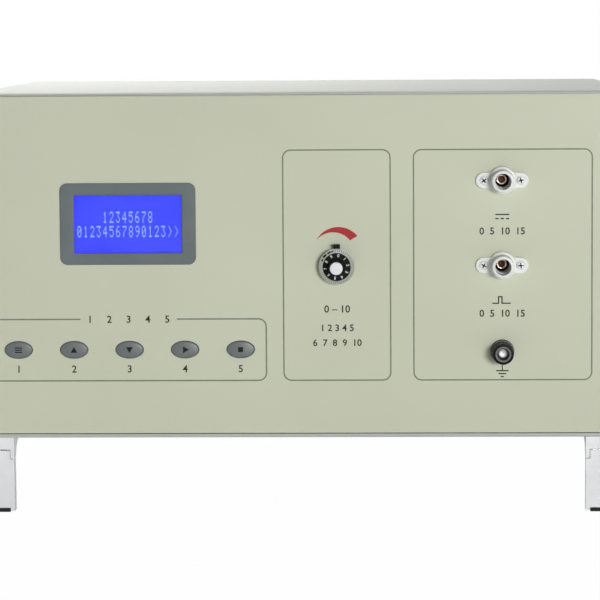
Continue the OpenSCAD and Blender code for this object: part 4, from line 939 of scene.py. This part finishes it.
def makeSockets(settings):
    s = SimpleNamespace(**settings)
    bore, floor, tip, wall = s.contactBore, s.contactFloor, s.contactTip, s.tail - s.tailWall
    for name, place in socketPlaces.items():
        body = settle(socketShape(settings), name + "SocketBody", place, socketWhite, "case",
                      [name + "_socket_body"], smooth=30)
        # painted shade: the deep part of the bore, shaded beyond the light insulator's mouth, is painted
        # black
        paintRing(body, place, paintedShadeBlack, 0, s.well, s.end - past, s.dark)
        sleeve = turned([
            (bore + 0.15, floor), (bore, tip - 0.6), (bore + 0.35, tip - 0.1), (bore + 0.5, tip),
            *reversed(roundedEdge(s.contact, tip, *s.contactEdge)), (s.contact, s.tailStep),
            (s.tail, s.tailStep), (s.tail, s.tailEnd), (0, s.tailEnd), (0, s.tailEnd + s.tailDeep),
            (wall, s.tailEnd + s.tailDeep), (wall, floor)], 48, closed=True)
        settle(sleeve, name + "SocketContact", place, contactBrass, "case", [name + "_socket_contact"])
        # painted shade: a dark copper disc at the bottom of the contact's bore
        core = turned([(0, floor - 1), (bore + 0.1, floor - 1), (bore + 0.1, floor), (1.2, floor + 0.15),
                       (0, floor + 0.2)], 36)
        settle(core, name + "SocketShadedCore", place, copperAndPaintedShade, "case")


makeSockets(socket)

# Cross-head screws: a domed head with a cross, on a plain shank
screws = {
    "head": 2.8, "headTop": 1.8, "rim": 0.5, "shank": 1.5, "tip": 0.6, "tipShare": 0.7, "length": 9,
    "crossWidth": 0.9, "crossLength": 3.4, "crossDepth": 1.0, "floorLow": 0.02, "floorTop": 0.3,
    "turns": (40, 15, 62, 5),
}


def screwShape(settings):
    s = SimpleNamespace(**settings)
    dome = arcPoints((0, s.rim), s.head, s.headTop - s.rim, 6)
    bm = turned([(0, -s.length), (s.shank * s.tipShare, -s.length), (s.shank, s.tip - s.length),
                 (s.shank, 0), (s.head, 0)] + dome, 32)
    low = s.headTop - s.crossDepth
    for width, height in ((s.crossLength, s.crossWidth), (s.crossWidth, s.crossLength)):
        bm = combined(bm, block(width, height, low, s.headTop + past), "DIFFERENCE")
    return bm


def crossFloor(settings):
    # painted shade: a dark sheet at the bottom of the cross
    s = SimpleNamespace(**settings)
    low = s.headTop - s.crossDepth
    along, across = s.crossLength - 0.05, s.crossWidth - 0.04
    return gathered([block(*size, low + s.floorLow, low + s.floorTop)
                     for size in ((along, across), (across, along))])


def makeSocketScrews(settings):
    heads, crossShades = [], []
    turns = iter(settings["turns"])
    for place in socketPlaces.values():
        for side in (-1, 1):
            turn = math.radians(next(turns))
            for shape, parts in ((screwShape(settings), heads), (crossFloor(settings), crossShades)):
                bm = shifted(shape, side * socket["earX"], 0, socket["flangeTop"], turn)
                bmesh.ops.transform(bm, matrix=place, verts=bm.verts)
                parts.append(bm)
    whole = Matrix.Identity(4)
    settle(gathered(heads), "socketScrews", whole, screwNickel, "case", ["socket_screws"])
    # painted shade in the crosses of the screw heads
    settle(gathered(crossShades), "socketScrewCrossShade", whole, paintedShadeBlack, "case")


makeSocketScrews(screws)
print("sockets made")

# Ground post: collar, stud, washer and a fluted cap with a hollow front
post = {
    "collar": 7.6, "collarTop": 4.2, "neck": 4.4, "panelBack": -3.25, "back": -4.85, "backRadius": 6.6,
    "bore": 2.82, "stud": 2.8, "studTop": 12.5, "studBack": -17.25, "washer": 5.9, "washerLow": 4.3,
    "washerTop": 5.1, "cap": 6.9, "capLow": 5.4, "capTop": 20, "grip": 6.8, "front": 6.25,
    "mouthEdge": 5.0, "mouth": 4.0, "mouthDrop": 0.5, "funnel": 3.8, "flutes": 18, "fluteDepth": 0.4,
    "dish": 0.35, "collarRound": 0.9, "dishShare": 0.86, "dimpleFloor": 0.35, "dimpleMouth": 0.45,
    "dimpleDeep": 0.8, "dimplePlace": (0.7, 0.1), "washerGap": 0.1, "washerRound": 0.15, "capGap": 0.04,
    "capChamfer": 0.5,
}


def makePostCollar(settings):
    s = SimpleNamespace(**settings)
    curve, top = s.collarRound, s.collarTop
    edge = arcPoints((s.collar - curve, top - curve), curve, curve, 6)
    bm = turned([(s.bore, s.back), (s.backRadius, s.back), (s.backRadius, s.panelBack),
                 (s.neck, s.panelBack), (s.neck, 0), (s.collar, 0)] + edge
                + [(s.bore, top)], closed=True)
    collar = settle(bm, "postCollar", postPlace, postBlack, "case", ["post_collar"])
    # painted highlight: the upper half of the collar's rounded edge is painted grey all round
    paintRing(collar, postPlace, postPaintedSheen, edge[6][0], edge[3][0], edge[3][1], top)


def makePostStud(settings):
    s = SimpleNamespace(**settings)
    radius, top, dish = s.stud, s.studTop, s.dish
    bowl = arcPoints((0, top), radius * s.dishShare, -dish, 6)
    bm = turned([(0, s.studBack), (radius, s.studBack), (radius, top - 0.25),
                 (radius - 0.2, top)] + bowl, 48)
    floor = top - dish - s.dimpleDeep
    dimple = turned([(0, floor), (s.dimpleFloor, floor + 0.2), (s.dimpleMouth, top + past),
                     (0, top + past)], 24)
    bm = combined(bm, shifted(dimple, *s.dimplePlace), "DIFFERENCE")
    settle(bm, "postStud", postPlace, postSteel, "case", ["post_stud"])


def makePostWasher(settings):
    s = SimpleNamespace(**settings)
    bm = tube(s.washer, s.washerLow, s.washerTop, inner=s.bore + s.washerGap)
    soften(bm, s.washerRound)
    settle(bm, "postWasher", postPlace, brightSteel, "post_washer", ["post_washer"])


def makePostCap(settings):
    s = SimpleNamespace(**settings)
    low, top, grip, mouthFloor = s.capLow, s.capTop, s.grip, s.capTop - s.mouthDrop

    def plain(radius):
        return flutePoints(radius, 0, s.flutes)

    def fluted(radius):
        return flutePoints(radius, s.fluteDepth, s.flutes)

    bm = loft([
        (plain(s.bore + s.capGap), low), (plain(s.cap - s.capChamfer), low),
        (plain(s.cap), low + s.capChamfer), (plain(s.cap), low + 2), (plain(s.cap - 0.25), low + 2.5),
        (plain(grip + 0.1), low + 3), (fluted(grip), low + 3.6), (fluted(grip - 0.1), top - 1.8),
        (plain(grip - 0.1), top - 1.1), (plain(grip - 0.35), top - 0.45), (plain(s.front), top - 0.08),
        (plain(s.front - 0.3), top), (plain(s.mouthEdge + 0.1), top), (plain(s.mouthEdge), top - 0.1),
        (plain(s.mouth), mouthFloor), (plain(s.mouth - 0.05), mouthFloor - 0.4),
        (plain(s.funnel), top - 3.6), (plain(s.bore + s.capGap), top - 6.5)], closed=True)
    cap = settle(bm, "postCap", postPlace, postBlack, "post_cap", ["post_cap"], smooth=40)
    # painted highlight: the ring round the cap's mouth is painted grey
    paintRing(cap, postPlace, postPaintedSheen, s.mouth, s.mouthEdge, mouthFloor, top)


makePostCollar(post)
makePostStud(post)
makePostWasher(post)
makePostCap(post)
print("post made")

# Stage: a pale floor that keeps the shadow, and soft lamps
stage = {"size": 30, "grey": 0.86, "roughness": 0.9, "white": 0.98, "reach": (0.45, 1.1),
         "world": 0.05}


def mathOf(tree, operation, first, second):
    node = tree.nodes.new("ShaderNodeMath")
    node.operation = operation
    tree.links.new(first, node.inputs[0])
    tree.links.new(second, node.inputs[1])
    return node.outputs["Value"]


def mixShaders(tree, factor, first, second):
    mix = tree.nodes.new("ShaderNodeMixShader")
    for source, place in zip((factor, first, second), mix.inputs):
        tree.links.new(source, place)
    return mix.outputs["Shader"]


def backdropRays(tree):
    # 1 for rays from the camera and for those that metal and glass send on, 0 for light on the object
    path = tree.nodes.new("ShaderNodeLightPath")
    total = path.outputs["Is Camera Ray"]
    for name in ("Is Glossy Ray", "Is Transmission Ray"):
        total = mathOf(tree, "MAXIMUM", total, path.outputs[name])
    return total


def makeStage(settings):
    s = SimpleNamespace(**settings)
    bm = bmesh.new()
    bmesh.ops.create_grid(bm, x_segments=1, y_segments=1, size=s.size)
    floor = placedMesh("floor", bm)
    material, tree, shader = newMaterial("floorWhite")
    shader.inputs["Base Color"].default_value = (s.grey, s.grey, s.grey, 1)
    shader.inputs["Roughness"].default_value = s.roughness
    glow = tree.nodes.new("ShaderNodeEmission")
    # near the object the floor is lit and shaded, far from it plain white
    place = tree.nodes.new("ShaderNodeTexCoord")
    away = tree.nodes.new("ShaderNodeVectorMath")
    away.operation = "LENGTH"
    tree.links.new(place.outputs["Object"], away.inputs[0])
    white = rangeOf(tree, away.outputs["Value"], s.white, 1, *s.reach)
    share = mathOf(tree, "MULTIPLY", backdropRays(tree), white)
    mixed = mixShaders(tree, share, shader.outputs["BSDF"], glow.outputs["Emission"])
    tree.links.new(mixed, tree.nodes["Material Output"].inputs["Surface"])
    floor.data.materials.append(material)


def makeWorld(level):
    # white as a background, a plain grey light to the object
    world = bpy.data.worlds.new("studio")
    bpy.context.scene.world = world
    world.use_nodes = True
    tree = world.node_tree
    plain = tree.nodes["Background"]
    plain.inputs["Color"].default_value = (level, level, level, 1)
    white = tree.nodes.new("ShaderNodeBackground")
    white.inputs["Color"].default_value = (1, 1, 1, 1)
    mixed = mixShaders(tree, backdropRays(tree), plain.outputs["Background"], white.outputs["Background"])
    tree.links.new(mixed, tree.nodes["World Output"].inputs["Surface"])


lamps = {
    "key": {"place": (0.75, -2.9, 0.38), "size": (0.6, 0.4), "power": 50},
    "front": {"place": (0.12, -2.25, 0.28), "size": (0.12, 0.12), "power": 0.4},
    "low": {"place": (0.05, -0.6, 0.03), "size": (1, 0.08), "power": 0.17},
    "top": {"place": (-0.35, 0.2, 0.9), "size": (0.4, 0.4), "power": 5},
    "left": {"place": (-1.6, 0.1, 0.5), "size": (0.6, 0.6), "power": 9, "glossy": False},
    "right": {"place": (1.6, 0.1, 0.5), "size": (0.6, 0.6), "power": 9, "glossy": False},
    "rear": {"place": (-0.3, 1.9, 0.16), "size": (0.6, 0.3), "power": 14},
}


def makeLamps(settings):
    target = Vector((0, -0.1, 0.15))
    for name, values in settings.items():
        light = bpy.data.lights.new(name, "AREA")
        light.shape = "RECTANGLE"
        light.size, light.size_y = values["size"]
        light.energy = values["power"]
        lamp = placed(name, light)
        lamp.location = values["place"]
        lamp.rotation_euler = (target - Vector(values["place"])).to_track_quat("-Z", "Y").to_euler()
        lamp.visible_glossy = values.get("glossy", True)


makeStage(stage)
makeWorld(stage["world"])
makeLamps(lamps)
bpy.context.scene.view_settings.view_transform = "Standard"
print("stage lit")
